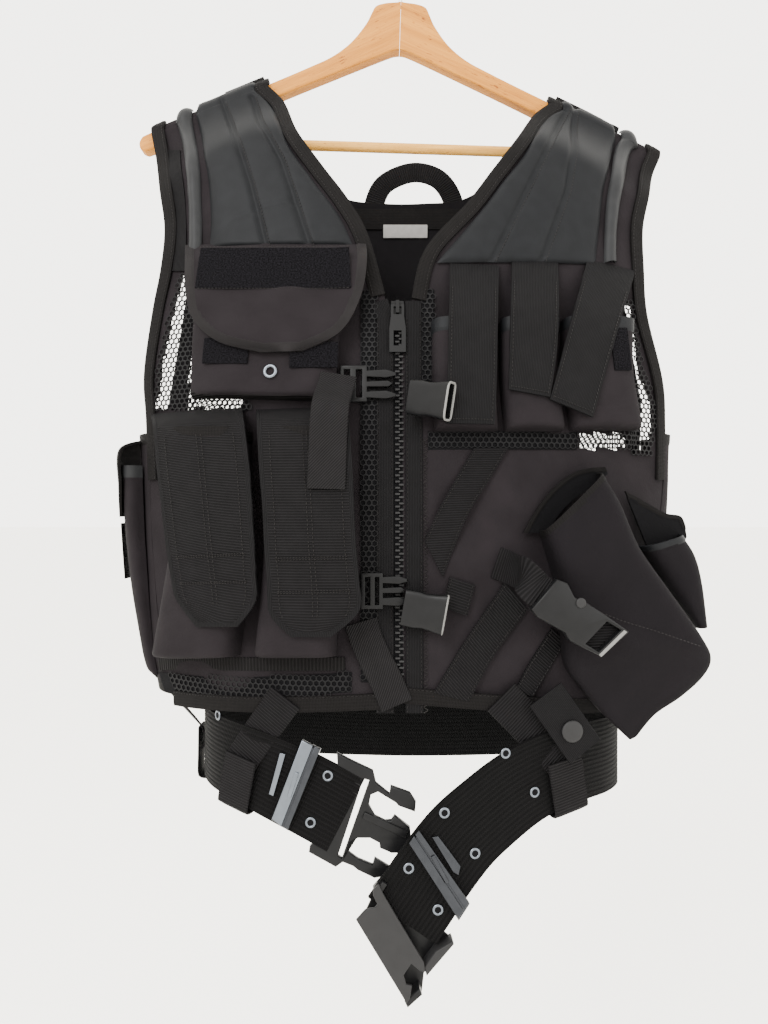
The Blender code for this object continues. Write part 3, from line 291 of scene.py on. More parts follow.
def side_spot(hand, turn, z, lift):
    """Points on the side cloth: turn runs from 0 at the front to 1 at the back."""
    turn, z, lift = np.broadcast_arrays(*[np.asarray(value, float) for value in (turn, z, lift)])
    rows = np.array(FRONT_LEFT_ROWS if hand < 0 else FRONT_RIGHT_ROWS)[::-1]
    column = 0 if hand < 0 else 2
    front_x = np.interp(z, rows[:, column + 1], rows[:, column])
    back_x = (BACK_COLUMNS[0] if hand < 0 else BACK_COLUMNS[-1]) * back_width(z)
    ends = []
    for spot, across, sign in ((front_spot, front_x, 1), (back_spot, back_x, -1)):
        point, normal = spot(across, z, 0.0)
        along = unit(vectors(hand * np.abs(normal[..., 1]), np.abs(normal[..., 0]) * sign, 0.0))
        ends.append((point + along * SIDE_SEAM, along))
    (start, leave), (finish, arrive) = ends
    reach = np.linalg.norm(finish - start, axis=-1, keepdims=True) * 0.38
    t = turn[..., None]
    rest = 1 - t
    handles = (start, start + leave * reach, finish + arrive * reach, finish)
    weights = (rest ** 3, 3 * rest ** 2 * t, 3 * rest * t ** 2, t ** 3)
    slopes = (-3 * rest ** 2, 3 * rest ** 2 - 6 * rest * t, 6 * rest * t - 3 * t ** 2, 3 * t ** 2)
    point = sum(handle * weight for handle, weight in zip(handles, weights))
    along = sum(handle * weight for handle, weight in zip(handles, slopes))
    normal = unit(vectors(hand * along[..., 1], -hand * along[..., 0], 0.0))
    point[..., 2] = z
    return point + normal * lift[..., None], normal


def holster_spot(x, z, lift):
    return vectors(x, -(HOLSTER_BACK - HOLSTER_LEAN * (x - HOLSTER_INNER_X)) - lift, z), None


def pocket_spot(x, z, lift):
    back = HOLSTER_POCKET_BACK - HOLSTER_POCKET_LEAN * (x - HOLSTER_POCKET_INNER_X)
    return vectors(x, -back - lift, z), None


def sight(places, lift=0.0, spot=front_spot):
    """x and z of a cloth surface where its lifted points show at places px, py."""
    places = np.asarray(places, float)
    lift = np.broadcast_to(np.asarray(lift, float), places.shape[:-1])
    first_guess = 0.58
    x = CAMERA[0] + (places[..., 0] - MIDDLE_X) * first_guess / FOCAL
    z = CAMERA[2] - (places[..., 1] - MIDDLE_Y) * first_guess / FOCAL
    for _ in range(24):
        point = spot(x, z, lift)[0]
        reach = (point[..., 1] - CAMERA[1]) / FOCAL
        x = x + 0.7 * (CAMERA[0] + (places[..., 0] - MIDDLE_X) * reach - point[..., 0])
        z = z + 0.7 * (CAMERA[2] - (places[..., 1] - MIDDLE_Y) * reach - point[..., 2])
    return np.stack([x, z], axis=-1)


def seen_rows(rows, lifts, spot=front_spot):
    """A panel's table from the places px, py of each row's left and right end."""
    rows = np.asarray(rows, float)
    lifts = np.broadcast_to(np.asarray(lifts, float), (len(rows),))
    left = sight(rows[:, :2], lifts, spot)
    right = sight(rows[:, 2:], lifts, spot)
    return np.concatenate([left, right], axis=1)


def at_depth(places):
    """The point or points that show at px, py and stand at a depth y: one or more px, py, y."""
    places = np.asarray(places, float)
    reach = (places[..., 2] - CAMERA[1]) / FOCAL
    x = CAMERA[0] + (places[..., 0] - MIDDLE_X) * reach
    z = CAMERA[2] - (places[..., 1] - MIDDLE_Y) * reach
    return vectors(x, places[..., 2], z)


def with_shoulder(top, rows):
    """Adds the rows that go over the hanger to a panel's table."""
    left, right = top
    above = []
    for drop in SHOULDER_DROPS:
        above.append((left, ridge(left)[0] - drop, right, ridge(right)[0] - drop))
    return tuple(above) + tuple(rows)


def spread(rows, across, down):
    """x and z of a panel at shares across and down its table, as grids."""
    table = smooth_table(rows, down)
    left_x, left_z, right_x, right_z = np.moveaxis(table[:, None, :4], -1, 0)
    across = np.asarray(across)[None, :]
    return left_x + (right_x - left_x) * across, left_z + (right_z - left_z) * across


def folds(across, down, seed, size, height):
    """Soft random waves over a surface, in metres."""
    dice = np.random.default_rng(seed)
    total = np.zeros(np.broadcast(across, down).shape)
    for _ in range(7):
        angle = dice.uniform(0.0, math.pi)
        rate = 2 * math.pi / (size * dice.uniform(0.7, 1.8))
        shift = dice.uniform(0.0, 2 * math.pi)
        total += np.sin((across * math.cos(angle) + down * math.sin(angle)) * rate + shift)
    return total * height / 7


# Mesh builders.

def add(name, points, faces, finishes, weave, nodes=(), marks=None, recalc=True):
    """One piece of the visual model. weave holds metres across and along the piece."""
    mesh = bpy.data.meshes.new(name)
    mesh.from_pydata(np.asarray(points).reshape(-1, 3).tolist(), [], faces)
    spread_out = mesh.attributes.new("weave", "FLOAT_VECTOR", "POINT")
    spread_out.data.foreach_set("vector", np.asarray(weave, np.float32).ravel())
    if recalc:
        work = bmesh.new()
        work.from_mesh(mesh)
        bmesh.ops.recalc_face_normals(work, faces=work.faces)
        work.to_mesh(mesh)
        work.free()
    for finish in [finishes] if isinstance(finishes, str) else finishes:
        mesh.materials.append(bpy.data.materials[finish])
    if marks is not None:
        mesh.polygons.foreach_set("material_index", np.asarray(marks, np.int32))
    mesh.shade_smooth()
    mesh.set_sharp_from_angle(angle=math.radians(50))
    thing = bpy.data.objects.new(name, mesh)
    bpy.context.scene.collection.objects.link(thing)
    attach(thing, "vest")
    if nodes:
        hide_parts(*nodes)
    return thing


def grid_faces(rows, cols):
    index = np.arange(rows * cols).reshape(rows, cols)
    quads = np.stack([index[:-1, :-1], index[1:, :-1], index[1:, 1:], index[:-1, 1:]], axis=-1)
    return quads.reshape(-1, 4)


def lengths(grid):
    """Metres across from the middle column, and metres down from the top row."""
    across = np.linalg.norm(np.diff(grid, axis=1), axis=-1)
    across = np.concatenate([np.zeros((len(grid), 1)), np.cumsum(across, axis=1)], axis=1)
    across = across - across[:, -1:] / 2
    down = np.linalg.norm(np.diff(grid, axis=0), axis=-1)
    down = np.concatenate([np.zeros((1, grid.shape[1])), np.cumsum(down, axis=0)], axis=0)
    return across, down


def grid_normals(grid, toward):
    normal = unit(np.cross(np.gradient(grid, axis=0), np.gradient(grid, axis=1)))
    flip = np.sum(normal * np.asarray(toward)) < 0
    return (-normal if flip else normal), flip


def edge_distance(grid, sides):
    """How far each point of a grid is from the named sides of it."""
    edges = {"top": grid[0], "bottom": grid[-1], "left": grid[:, 0], "right": grid[:, -1]}
    line = np.concatenate([edges[side] for side in sides])
    flat = grid.reshape(-1, 3)
    away = [np.linalg.norm(line - point, axis=1).min() for point in flat]
    return np.array(away).reshape(grid.shape[:2])


def closed_faces(quads, count):
    """Faces of both sides of a sheet and of its open edges, and which edges are open."""
    edges = np.concatenate([quads[:, [k, (k + 1) % 4]] for k in range(4)])
    single = ~np.isin(edges[:, 0] * count + edges[:, 1], edges[:, 1] * count + edges[:, 0])
    start, end = edges[single].T
    border = np.stack([end, start, start + count, end + count], axis=-1)
    return np.concatenate([quads, quads[:, ::-1] + count, border]), single


def shell(name, grid, thickness, finish, nodes=(), toward=FRONT, keep=None, rim=None,
          lining=None):
    """A sheet with a thickness. keep says which faces stay, rim is (finish, sides, width, raise)."""
    rows, cols = grid.shape[:2]
    across, down = lengths(grid)
    quads = grid_faces(rows, cols)
    finishes = [finish]
    marks = np.zeros(len(quads), int)
    normal, flip = grid_normals(grid, toward)
    if rim:
        rim_finish, sides, width, height = rim
        away = edge_distance(grid, sides)
        step = np.clip((width - away) / 0.0012 + 0.5, 0.0, 1.0)
        grid = grid + normal * (height * step * step * (3 - 2 * step))[..., None]
        marks = (away.ravel()[quads].mean(axis=1) < width).astype(int)
        finishes = [finish, rim_finish]
    inner = grid - normal * thickness
    if flip:
        quads = quads[:, ::-1]
    if keep is not None:
        quads = quads[keep.ravel()]
        marks = marks[keep.ravel()]
    faces, single = closed_faces(quads, rows * cols)
    inner_marks = marks
    if lining:
        finishes = finishes + [lining]
        inner_marks = np.full(len(marks), len(finishes) - 1)
    marks = np.concatenate([marks, inner_marks, np.tile(marks, 4)[single]])
    points = np.concatenate([grid.reshape(-1, 3), inner.reshape(-1, 3)])
    flat = vectors(across, down, 0.0).reshape(-1, 3)
    weave = np.concatenate([flat, flat + (0.0, 0.0, 1.0)])
    used, faces = np.unique(faces, return_inverse=True)
    faces = faces.reshape(-1, 4)
    thing = add(name, points[used], faces.tolist(), finishes, weave[used], nodes, marks, recalc=False)
    thing["cut"] = (float((across[:, -1] * 2).max()), float(down[-1].max()))
    diagonals = grid[1:, 1:] - grid[:-1, :-1], grid[1:, :-1] - grid[:-1, 1:]
    areas = np.linalg.norm(np.cross(*diagonals), axis=-1) / 2
    thing["area"] = float(areas.sum() if keep is None else areas[keep].sum())
    return thing


def lifted(rows, spot, lift, size, wave=None):
    """The grid of a panel, with lift a number or a function of shares across and down."""
    across = shares(size[0])
    down = shares(size[1])
    x, z = spread(rows, across, down)
    up = lift(across[None, :], down[:, None]) if callable(lift) else lift
    if wave:
        up = up + folds(x, z, *wave)
    return spot(x, z, up)[0]


def row_lift(values):
    """A lift that changes only down the piece, curved between its values."""
    def lift(across, down):
        return smooth_table([(value,) for value in values], down)[..., 0] + across * 0
    return lift


def pouch_grid(rows, spot, base, height, size, power=4.0, closed=0.86, wave=None, heights=None):
    """The grid of a pouch: rounded sides, an open top and a closed bottom."""
    angle = np.linspace(math.pi, 0.0, size[0])
    across = 0.5 + 0.5 * np.sign(np.cos(angle)) * np.abs(np.cos(angle)) ** (2 / power)
    bulge = np.abs(np.sin(angle)) ** (2 / power)
    turn = np.linspace(0.0, math.pi / 2, 14)
    low = closed + (1 - closed) * np.sin(turn) ** 0.7
    low_bulge = np.cos(turn) ** 0.55
    down = np.concatenate([np.linspace(0.0, closed, size[1])[:-1], low])
    fall = np.concatenate([np.ones(size[1] - 1), low_bulge])
    x, z = spread(rows, across, down)
    full = height if heights is None else smooth_table([(value,) for value in heights], down)
    up = base + full * bulge[None, :] * fall[:, None]
    if wave:
        up = up + folds(x, z, *wave) * (bulge[None, :] * fall[:, None]) ** 2
    return spot(x, z, up)[0]


def walk(points, step):
    """Even steps along a line of points, with the line's other columns mixed too."""
    points = np.asarray(points, float)
    run = run_along(points[:, :3])
    count = max(2, int(round(run[-1] / step)) + 1)
    at = np.linspace(0.0, run[-1], count)
    return np.stack([np.interp(at, run, column) for column in points.T], axis=1)


def curved(points, step):
    """A smooth line through points, in even steps."""
    fine = smooth_table(points, shares(12 * len(points)))
    return walk(fine, step)


def ring_faces(count, size, closed=False):
    index = np.arange(count * size).reshape(count, size)
    following = np.roll(index, -1, axis=1)
    if closed:
        last, last_next = np.roll(index, -1, axis=0), np.roll(following, -1, axis=0)
    else:
        last, last_next = index[1:], following[1:]
        index, following = index[:-1], following[:-1]
    faces = np.stack([index, last, last_next, following], axis=-1).reshape(-1, 4).tolist()
    if not closed:
        faces.append(list(range(size)))
        faces.append(list(range((count - 1) * size, count * size)))
    return faces


TAPE_SECTION = np.array((
    (-0.5, 0.3), (-0.48, 0.85), (-0.3, 1.0), (0.0, 1.0), (0.3, 1.0), (0.48, 0.85), (0.5, 0.3),
    (0.47, 0.0), (-0.47, 0.0),
))


def tape(name, finish, line, width, thickness, nodes=(), step=0.002):
    """A band along a line of points with the way each looks."""
    line = curved(line, step)
    point, look = line[:, :3], unit(line[:, 3:6])
    along = unit(np.gradient(point, axis=0))
    side = unit(np.cross(along, look))
    up = unit(np.cross(side, along))
    offset = TAPE_SECTION[None, :, 0, None] * width * side[:, None, :]
    rings = point[:, None, :] + offset + TAPE_SECTION[None, :, 1, None] * thickness * up[:, None, :]
    run = run_along(point)
    weave = vectors(TAPE_SECTION[None, :, 0] * width, run[:, None], 0.0)
    faces = ring_faces(len(line), len(TAPE_SECTION))
    thing = add(name, rings, faces, finish, weave.reshape(-1, 3), nodes)
    thing["cut"] = (width, float(run[-1]))
    thing["area"] = float(width * run[-1])
    return thing


def tube(name, finish, points, radius, nodes=(), sides=10, step=0.002, guide=(0.0, 1.0, 0.0),
         closed=False):
    """A round bar along points. radius is a number or a list along it."""
    line = curved(points, step)
    along = unit(np.gradient(line, axis=0))
    if closed:
        line = line[:-1]
        along = unit(np.roll(line, -1, axis=0) - np.roll(line, 1, axis=0))
    side = unit(np.cross(along, np.array(guide)))
    up = np.cross(side, along)
    turn = np.linspace(0.0, 2 * math.pi, sides, endpoint=False)
    radii = np.interp(shares(len(line)), shares(np.size(radius)), np.atleast_1d(radius))
    around = np.cos(turn)[None, :, None] * side[:, None, :] + np.sin(turn)[None, :, None] * up[:, None, :]
    rings = line[:, None, :] + around * radii[:, None, None]
    run = run_along(line)
    weave = vectors(turn[None, :] * radii.mean(), run[:, None], 0.0)
    faces = ring_faces(len(line), sides, closed)
    return add(name, rings, faces, finish, weave.reshape(-1, 3), nodes)


THREAD_RADIUS = 0.0003
STITCH = 0.003
STITCH_COVER = 0.72
ZIGZAG_COVER = 0.96


class Sewing:
    """Stitches gathered into one piece of thread."""

    def __init__(self):
        self.points = []
        self.faces = []

    def stitch(self, start, end, look):
        along = end - start
        side = unit(np.cross(along, look)) * THREAD_RADIUS
        up = look * THREAD_RADIUS
        base = len(self.points)
        self.points += [start - up, end - up]
        for share in (0.18, 0.82):
            centre = start + along * share + up * 0.6
            self.points += [centre + side, centre + up, centre - side, centre - up]
        for k in range(4):
            a, b = base + 2 + k, base + 2 + (k + 1) % 4
            self.faces += [[a, b, b + 4, a + 4], [base, b, a], [base + 1, a + 4, b + 4]]

    def row(self, line, length=STITCH, zigzag=0.0):
        """Stitches along points with the way each looks, straight or from side to side."""
        line = walk(line, length)
        point, look = line[:, :3], unit(line[:, 3:6])
        if zigzag:
            side = unit(np.cross(np.gradient(point, axis=0), look))
            point = point + side * (zigzag / 2 * np.where(np.arange(len(point)) % 2, 1, -1))[:, None]
        cover = ZIGZAG_COVER if zigzag else STITCH_COVER
        for a, b, way in zip(point[:-1], point[1:], look[:-1]):
            middle, half = (a + b) / 2, (b - a) / 2 * cover
            self.stitch(middle - half, middle + half, way)

    def finish(self):
        points = np.array(self.points)
        add("stitching", points, self.faces, "thread", points, recalc=False)


def on_cloth(spot, places, lift):
    """A line on the cloth through x, z places, as points with the way each looks."""
    places = np.asarray(places, float)
    point, normal = spot(places[:, 0], places[:, 1], lift)
    return np.concatenate([point, normal], axis=1)


def grid_line(grid, toward, row=None, column=None, lift=0.0, part=slice(None)):
    """A line along a row or column of a grid, as points with the way each looks."""
    normal, _ = grid_normals(grid, toward)
    if row is not None:
        point, look = grid[row, part], normal[row, part]
    else:
        point, look = grid[part, column], normal[part, column]
    return np.concatenate([point + look * lift, look], axis=1)


NET_PITCH = 0.0043
NET_THICKNESS = 0.0007
NET_HOLE = 0.75


def net(name, polygon, spot, lift, within=None):
    """Cloth net with six-sided holes, inside a polygon of x and z."""
    polygon = np.asarray(polygon, float)
    low, high = polygon.min(axis=0), polygon.max(axis=0)
    rise = NET_PITCH * 0.866
    corners = np.radians(np.arange(6) * 60 + 30)
    centres = []
    for row in range(int((high[1] - low[1]) / rise) + 1):
        for column in range(int((high[0] - low[0]) / NET_PITCH) + 2):
            centres.append((low[0] + (column + 0.5 * (row % 2)) * NET_PITCH, low[1] + row * rise))
    for edge in (polygon,) if within is None else (polygon, within):
        centres = [centre for centre in centres if inside(edge, *centre)]
    points, faces = [], []
    for x, z in centres:
        base = len(points)
        for share in (1.0, NET_HOLE):
            for corner in corners:
                reach = NET_PITCH / 1.732 * share
                points.append((x + reach * math.cos(corner), z + reach * math.sin(corner)))
        for k in range(6):
            a, b = base + k, base + (k + 1) % 6
            faces.append((a, b, b + 6, a + 6))
    points = np.array(points)
    _, first, same = np.unique(np.round(points, 5), axis=0, return_index=True, return_inverse=True)
    points = points[first]
    faces, _ = closed_faces(same.ravel()[np.array(faces)], len(first))
    sides = [spot(points[:, 0], points[:, 1], rise_by)[0] for rise_by in (lift + NET_THICKNESS, lift)]
    flat = vectors(points[:, 0], points[:, 1], 0.0)
    add(name, np.concatenate(sides), faces.tolist(), "net", np.concatenate([flat, flat]))


def inside(polygon, x, z):
    """Whether places lie in a polygon of x and z."""
    within = np.zeros(np.broadcast(x, z).shape, bool)
    for (ax, az), (bx, bz) in zip(polygon, np.roll(polygon, -1, axis=0)):
        crossing = (az > z) != (bz > z)
        edge = ax + (z - az) / np.where(bz == az, 1e-9, bz - az) * (bx - ax)
        within = within ^ (crossing & (x < edge))
    return within


def plate(name, finish, loops, thickness, rounding, nodes, matrix):
    """A moulded plate from flat outlines, the first its edge and the rest its holes, with soft edges."""
    curve = bpy.data.curves.new(name, "CURVE")
    curve.dimensions = "2D"
    curve.fill_mode = "BOTH"
    curve.extrude = thickness / 2 - rounding
    curve.bevel_depth = rounding
    curve.bevel_resolution = 2
    curve.offset = -rounding
    for loop in loops:
        spline = curve.splines.new("POLY")
        spline.points.add(len(loop) - 1)
        spline.use_cyclic_u = True
        for place, (x, z) in zip(spline.points, loop):
            place.co = (x, z, 0.0, 1.0)
    guide = bpy.data.objects.new(name + "_guide", curve)
    bpy.context.scene.collection.objects.link(guide)
    bpy.context.view_layer.update()
    made = bpy.data.meshes.new_from_object(guide.evaluated_get(bpy.context.evaluated_depsgraph_get()))
    bpy.data.objects.remove(guide, do_unlink=True)
    work = bmesh.new()
    work.from_mesh(made)
    bmesh.ops.remove_doubles(work, verts=work.verts, dist=0.00001)
    points = np.array([(vert.co.x, -vert.co.z, vert.co.y) for vert in work.verts])
    faces = [[vert.index for vert in face.verts] for face in work.faces]
    work.free()
    weave = points[:, [0, 2, 1]]
    turn, place = matrix
    return add(name, points @ turn.T + place, faces, finish, weave, nodes)


def stand(point, along, outward):
    """The turn and place of a piece with its x along one way and its -y along the other."""
    along = unit(np.asarray(along, float))
    side = unit(np.cross(along, np.asarray(outward, float)))
    face = np.cross(side, along)
    return np.stack([along, -face, -side], axis=1), np.asarray(point, float)


def crease(x, z, line, width, height):
    """A ridge, or with a negative height a groove, along a line of x, z places."""
    line = np.asarray(line, float)
    nearest_to = np.full(np.broadcast(x, z).shape, 1.0)
    for (ax, az), (bx, bz) in zip(line[:-1], line[1:]):
        run = max((bx - ax) ** 2 + (bz - az) ** 2, 1e-12)
        t = np.clip(((x - ax) * (bx - ax) + (z - az) * (bz - az)) / run, 0.0, 1.0)
        nearest_to = np.minimum(nearest_to, np.hypot(x - ax - t * (bx - ax), z - az - t * (bz - az)))
    return height * np.exp(-((nearest_to / width) ** 2))


def ring_at(name, point, look, radius, wire, finish):
    """A round metal ring, flat against what carries it."""
    look = unit(look)
    side = unit(np.cross(look, (0.0, 0.0, 1.0)))
    up = np.cross(side, look)
    section = np.linspace(0.0, 2 * math.pi, 8, endpoint=False)
    rings = []
    for angle in np.linspace(0.0, 2 * math.pi, 28, endpoint=False):
        out = math.cos(angle) * side + math.sin(angle) * up
        bead = np.cos(section)[:, None] * out * 1.4 + np.sin(section)[:, None] * look * 0.8
        rings.append(point + radius * out + wire * bead)
    points = np.array(rings)
    add(name, points, ring_faces(28, 8, True), finish, points.reshape(-1, 3))


def disc_at(name, point, look, radius, height, finish):
    """A low domed button."""
    look = unit(look)
    side = unit(np.cross(look, (0.0, 0.0, 1.0)))
    up = np.cross(side, look)
    turn = np.linspace(0.0, 2 * math.pi, 32, endpoint=False)
    rings = []
    for share, rise in ((1.0, 0.0), (1.0, 0.35), (0.93, 0.7), (0.75, 0.92), (0.4, 1.0), (0.05, 1.0)):
        circle = np.cos(turn)[:, None] * side + np.sin(turn)[:, None] * up
        rings.append(point + circle * radius * share + look * height * rise)
    points = np.array(rings)
    add(name, points, ring_faces(6, 32), finish, points.reshape(-1, 3))


# Finishes.

def finish_tree(name, roughness, shine, metallic=0.0):
    made = bpy.data.materials.new(name)
    made.use_nodes = True
    tree = made.node_tree
    shader = tree.nodes["Principled BSDF"]
    shader.inputs["Roughness"].default_value = roughness
    shader.inputs["Metallic"].default_value = metallic
    shader.inputs["Specular IOR Level"].default_value = shine
    place = tree.nodes.new("ShaderNodeAttribute")
    place.attribute_name = "weave"
    return tree, shader, place.outputs["Vector"]


def turned(tree, place, angle, stretch=(1.0, 1.0, 1.0)):
    """The piece's own metres, turned and stretched."""
    mapping = tree.nodes.new("ShaderNodeMapping")
    mapping.inputs["Rotation"].default_value = (0.0, 0.0, angle)
    mapping.inputs["Scale"].default_value = stretch
    tree.links.new(place, mapping.inputs["Vector"])
    return mapping.outputs["Vector"]


def ribs(tree, place, pitch, direction="X", wobble=0.0):
    wave = tree.nodes.new("ShaderNodeTexWave")
    wave.bands_direction = direction
    wave.inputs["Scale"].default_value = 0.314159 / pitch
    wave.inputs["Distortion"].default_value = wobble
    wave.inputs["Detail"].default_value = 1.0
    wave.inputs["Detail Scale"].default_value = 2.0
    tree.links.new(place, wave.inputs["Vector"])
    return wave.outputs["Fac"]


def grain(tree, place, size, detail=3.0):
    noise = tree.nodes.new("ShaderNodeTexNoise")
    noise.inputs["Scale"].default_value = 1.0 / size
    noise.inputs["Detail"].default_value = detail
    tree.links.new(place, noise.inputs["Vector"])
    return noise.outputs["Fac"]


def combine(tree, operation, first, second):
    node = tree.nodes.new("ShaderNodeMath")
    node.operation = operation
    for socket, value in zip(node.inputs, (first, second)):
        if isinstance(value, (int, float)):
            socket.default_value = value
        else:
            tree.links.new(value, socket)
    return node.outputs["Value"]


def colour_between(tree, shader, factor, stops):
    """Base colour from a ramp of (place, colour)."""
    ramp = tree.nodes.new("ShaderNodeValToRGB")
    first, *others = stops
    ramp.color_ramp.elements[0].position = first[0]
    ramp.color_ramp.elements[0].color = (*first[1], 1.0)
    last = others.pop()
    ramp.color_ramp.elements[1].position = last[0]
    ramp.color_ramp.elements[1].color = (*last[1], 1.0)
    for position, colour in others:
        element = ramp.color_ramp.elements.new(position)
        element.color = (*colour, 1.0)
    tree.links.new(factor, ramp.inputs["Fac"])
    tree.links.new(ramp.outputs["Color"], shader.inputs["Base Color"])


def relief(tree, shader, height, distance, strength=1.0, under=None):
    bump = tree.nodes.new("ShaderNodeBump")
    bump.inputs["Distance"].default_value = distance
    bump.inputs["Strength"].default_value = strength
    tree.links.new(height, bump.inputs["Height"])
    if under is not None:
        tree.links.new(under, bump.inputs["Normal"])
    tree.links.new(bump.outputs["Normal"], shader.inputs["Normal"])
    return bump.outputs["Normal"]


def blend(tree, first, share, second):
    """A share of one value and the rest of another."""
    first = combine(tree, "MULTIPLY", first, share)
    return combine(tree, "ADD", first, combine(tree, "MULTIPLY", second, 1 - share))


def shades(tree, shader, factor, colour, *stops):
    """Base colour in shades of one colour, each stop a place and how light it is."""
    colour_between(tree, shader, factor, [
        (place, tuple(min(1.0, value * amount) for value in colour)) for place, amount in stops])


THREAD = 0.0007


def cloth_finish(name, colour, lint=0.35):
    """Plain woven nylon."""
    tree, shader, place = finish_tree(name, 0.85, 0.05)
    weft = ribs(tree, place, THREAD, "X")
    warp = ribs(tree, place, THREAD * 1.3, "Y")
    woven = combine(tree, "MULTIPLY", weft, warp)
    cloud = grain(tree, place, 0.03, 4.0)
    shades(tree, shader, blend(tree, woven, 0.35, cloud), colour, (0.15, 1 - lint), (0.75, 1 + lint))
    soft = relief(tree, shader, grain(tree, place, 0.006, 3.0), 0.0012, 0.35)
    relief(tree, shader, woven, 0.0002, 0.8, soft)


def ribbed_finish(name, colour, pitch, direction, angle=0.0, roughness=0.75, depth_of=0.0005, cross=None):
    """Ribbed webbing and tape."""
    tree, shader, place = finish_tree(name, roughness, 0.05)
    place = turned(tree, place, angle)
    rib = ribs(tree, place, pitch, direction, 0.3)
    if cross:
        other = ribs(tree, place, cross, "Y" if direction == "X" else "X", 0.4)
        rib = blend(tree, rib, 0.7, other)
    cloud = grain(tree, place, 0.012, 4.0)
    shades(tree, shader, blend(tree, rib, 0.6, cloud), colour, (0.15, 0.45), (0.85, 1.45))
    relief(tree, shader, rib, depth_of, 1.0)


def smooth_finish(name, colour, roughness, size, distance, spread_of=0.15, metallic=0.0, shine=0.1):
    """Moulded, coated or metal surfaces with a fine grain."""
    tree, shader, place = finish_tree(name, roughness, shine, metallic)
    cloud = grain(tree, place, size * 12, 4.0)
    shades(tree, shader, cloud, colour, (0.3, 1 - spread_of), (0.7, 1 + spread_of))
    relief(tree, shader, grain(tree, place, size, 3.0), distance, 0.4)


def beech_finish(name, pale=(1.0, 1.0, 1.0)):
    tree, shader, place = finish_tree(name, 0.55, 0.12)
    long_way = turned(tree, place, 0.0, (1.0, 0.035, 1.0))
    fine = grain(tree, long_way, 0.0012, 6.0)
    broad = grain(tree, long_way, 0.007, 3.0)
    flecks = grain(tree, turned(tree, place, 0.0, (1.0, 0.16, 1.0)), 0.0011, 1.0)
    fleck = combine(tree, "GREATER_THAN", flecks, 0.7)
    mixed = combine(tree, "SUBTRACT", blend(tree, fine, 0.45, broad), combine(tree, "MULTIPLY", fleck, 0.22))
    stops = ((0.18, (0.13, 0.034, 0.003)), (0.42, (0.29, 0.108, 0.011)), (0.62, (0.38, 0.155, 0.02)))
    stops = [(place, tuple(value * more for value, more in zip(colour, pale))) for place, colour in stops]
    colour_between(tree, shader, mixed, stops)
    relief(tree, shader, fine, 0.0002, 0.5)


def velcro_finish(name, colour):
    tree, shader, place = finish_tree(name, 0.95, 0.03)
    tuft = grain(tree, place, 0.0012, 4.0)
    shades(tree, shader, tuft, colour, (0.35, 0.35), (0.7, 2.2))
    relief(tree, shader, tuft, 0.0016, 1.0)


def build_finishes():
    cloth_finish("nylon", (0.0077, 0.0063, 0.0072))
    cloth_finish("nylon_dark", (0.0036, 0.0032, 0.0037), lint=0.25)
    cloth_finish("nylon_black", (0.0022, 0.0021, 0.0025), lint=0.25)
    cloth_finish("nylon_holster", (0.004, 0.0033, 0.004), lint=0.2)
    ribbed_finish("web_cross", (0.004, 0.0037, 0.004), 0.002, "Y", depth_of=0.0006)
    ribbed_finish("web_fine", (0.0036, 0.0034, 0.0037), 0.0012, "X", depth_of=0.0003)
    ribbed_finish("web_twill", (0.0054, 0.005, 0.0053), 0.0016, "X", angle=0.75, depth_of=0.0004)
    ribbed_finish("zigzag", (0.004, 0.0036, 0.0037), 0.0026, "Y", depth_of=0.0008)
    ribbed_finish("binding", (0.0034, 0.003, 0.003), 0.0011, "Y", depth_of=0.0003, cross=0.0024)
    ribbed_finish("binding_satin", (0.0072, 0.0063, 0.0066), 0.0009, "Y", roughness=0.55, depth_of=0.0002)
    ribbed_finish("belt_face", (0.0016, 0.0015, 0.0016), 0.0034, "X", depth_of=0.001, cross=0.0017)
    ribbed_finish("belt_inside", (0.003, 0.003, 0.0032), 0.0022, "Y", depth_of=0.0006)
    smooth_finish("hide", (0.0048, 0.0051, 0.0058), 0.5, 0.0009, 0.0003, 0.12, shine=0.05)
    smooth_finish("hide_rim", (0.011, 0.0113, 0.012), 0.45, 0.0009, 0.0003, 0.15, shine=0.06)
    smooth_finish("plastic", (0.0036, 0.0036, 0.0039), 0.36, 0.0006, 0.0001)
    # Lighter grey plastic; on the zip teeth its lightness is a painted glint.
    smooth_finish("plastic_grey", (0.011, 0.0108, 0.0112), 0.46, 0.0007, 0.0001, 0.08)
    # Near-white plastic: a painted highlight on the edges of black plastic parts.
    smooth_finish("plastic_rim", (0.1, 0.098, 0.095), 0.35, 0.0006, 0.0001, 0.05)
    smooth_finish("silver", (0.09, 0.1, 0.115), 0.3, 0.0005, 0.0001, 0.06, metallic=1.0)
    smooth_finish("gunmetal", (0.026, 0.0275, 0.031), 0.36, 0.0005, 0.0001, 0.1, metallic=1.0)
    smooth_finish("steel", (0.21, 0.21, 0.22), 0.28, 0.0004, 0.0001, 0.08, metallic=1.0)
    smooth_finish("thread", (0.0071, 0.0063, 0.0063), 0.6, 0.0004, 0.0001, 0.2)
    smooth_finish("net", (0.0019, 0.0018, 0.0021), 0.6, 0.0006, 0.0002, 0.25)
    smooth_finish("label", (0.16, 0.155, 0.15), 0.6, 0.0005, 0.0002, 0.1)
    velcro_finish("hook_loop", (0.0026, 0.0024, 0.003))
    beech_finish("beech_wood")
    beech_finish("beech_pale", (1.25, 1.65, 3.0))


# The hanger.

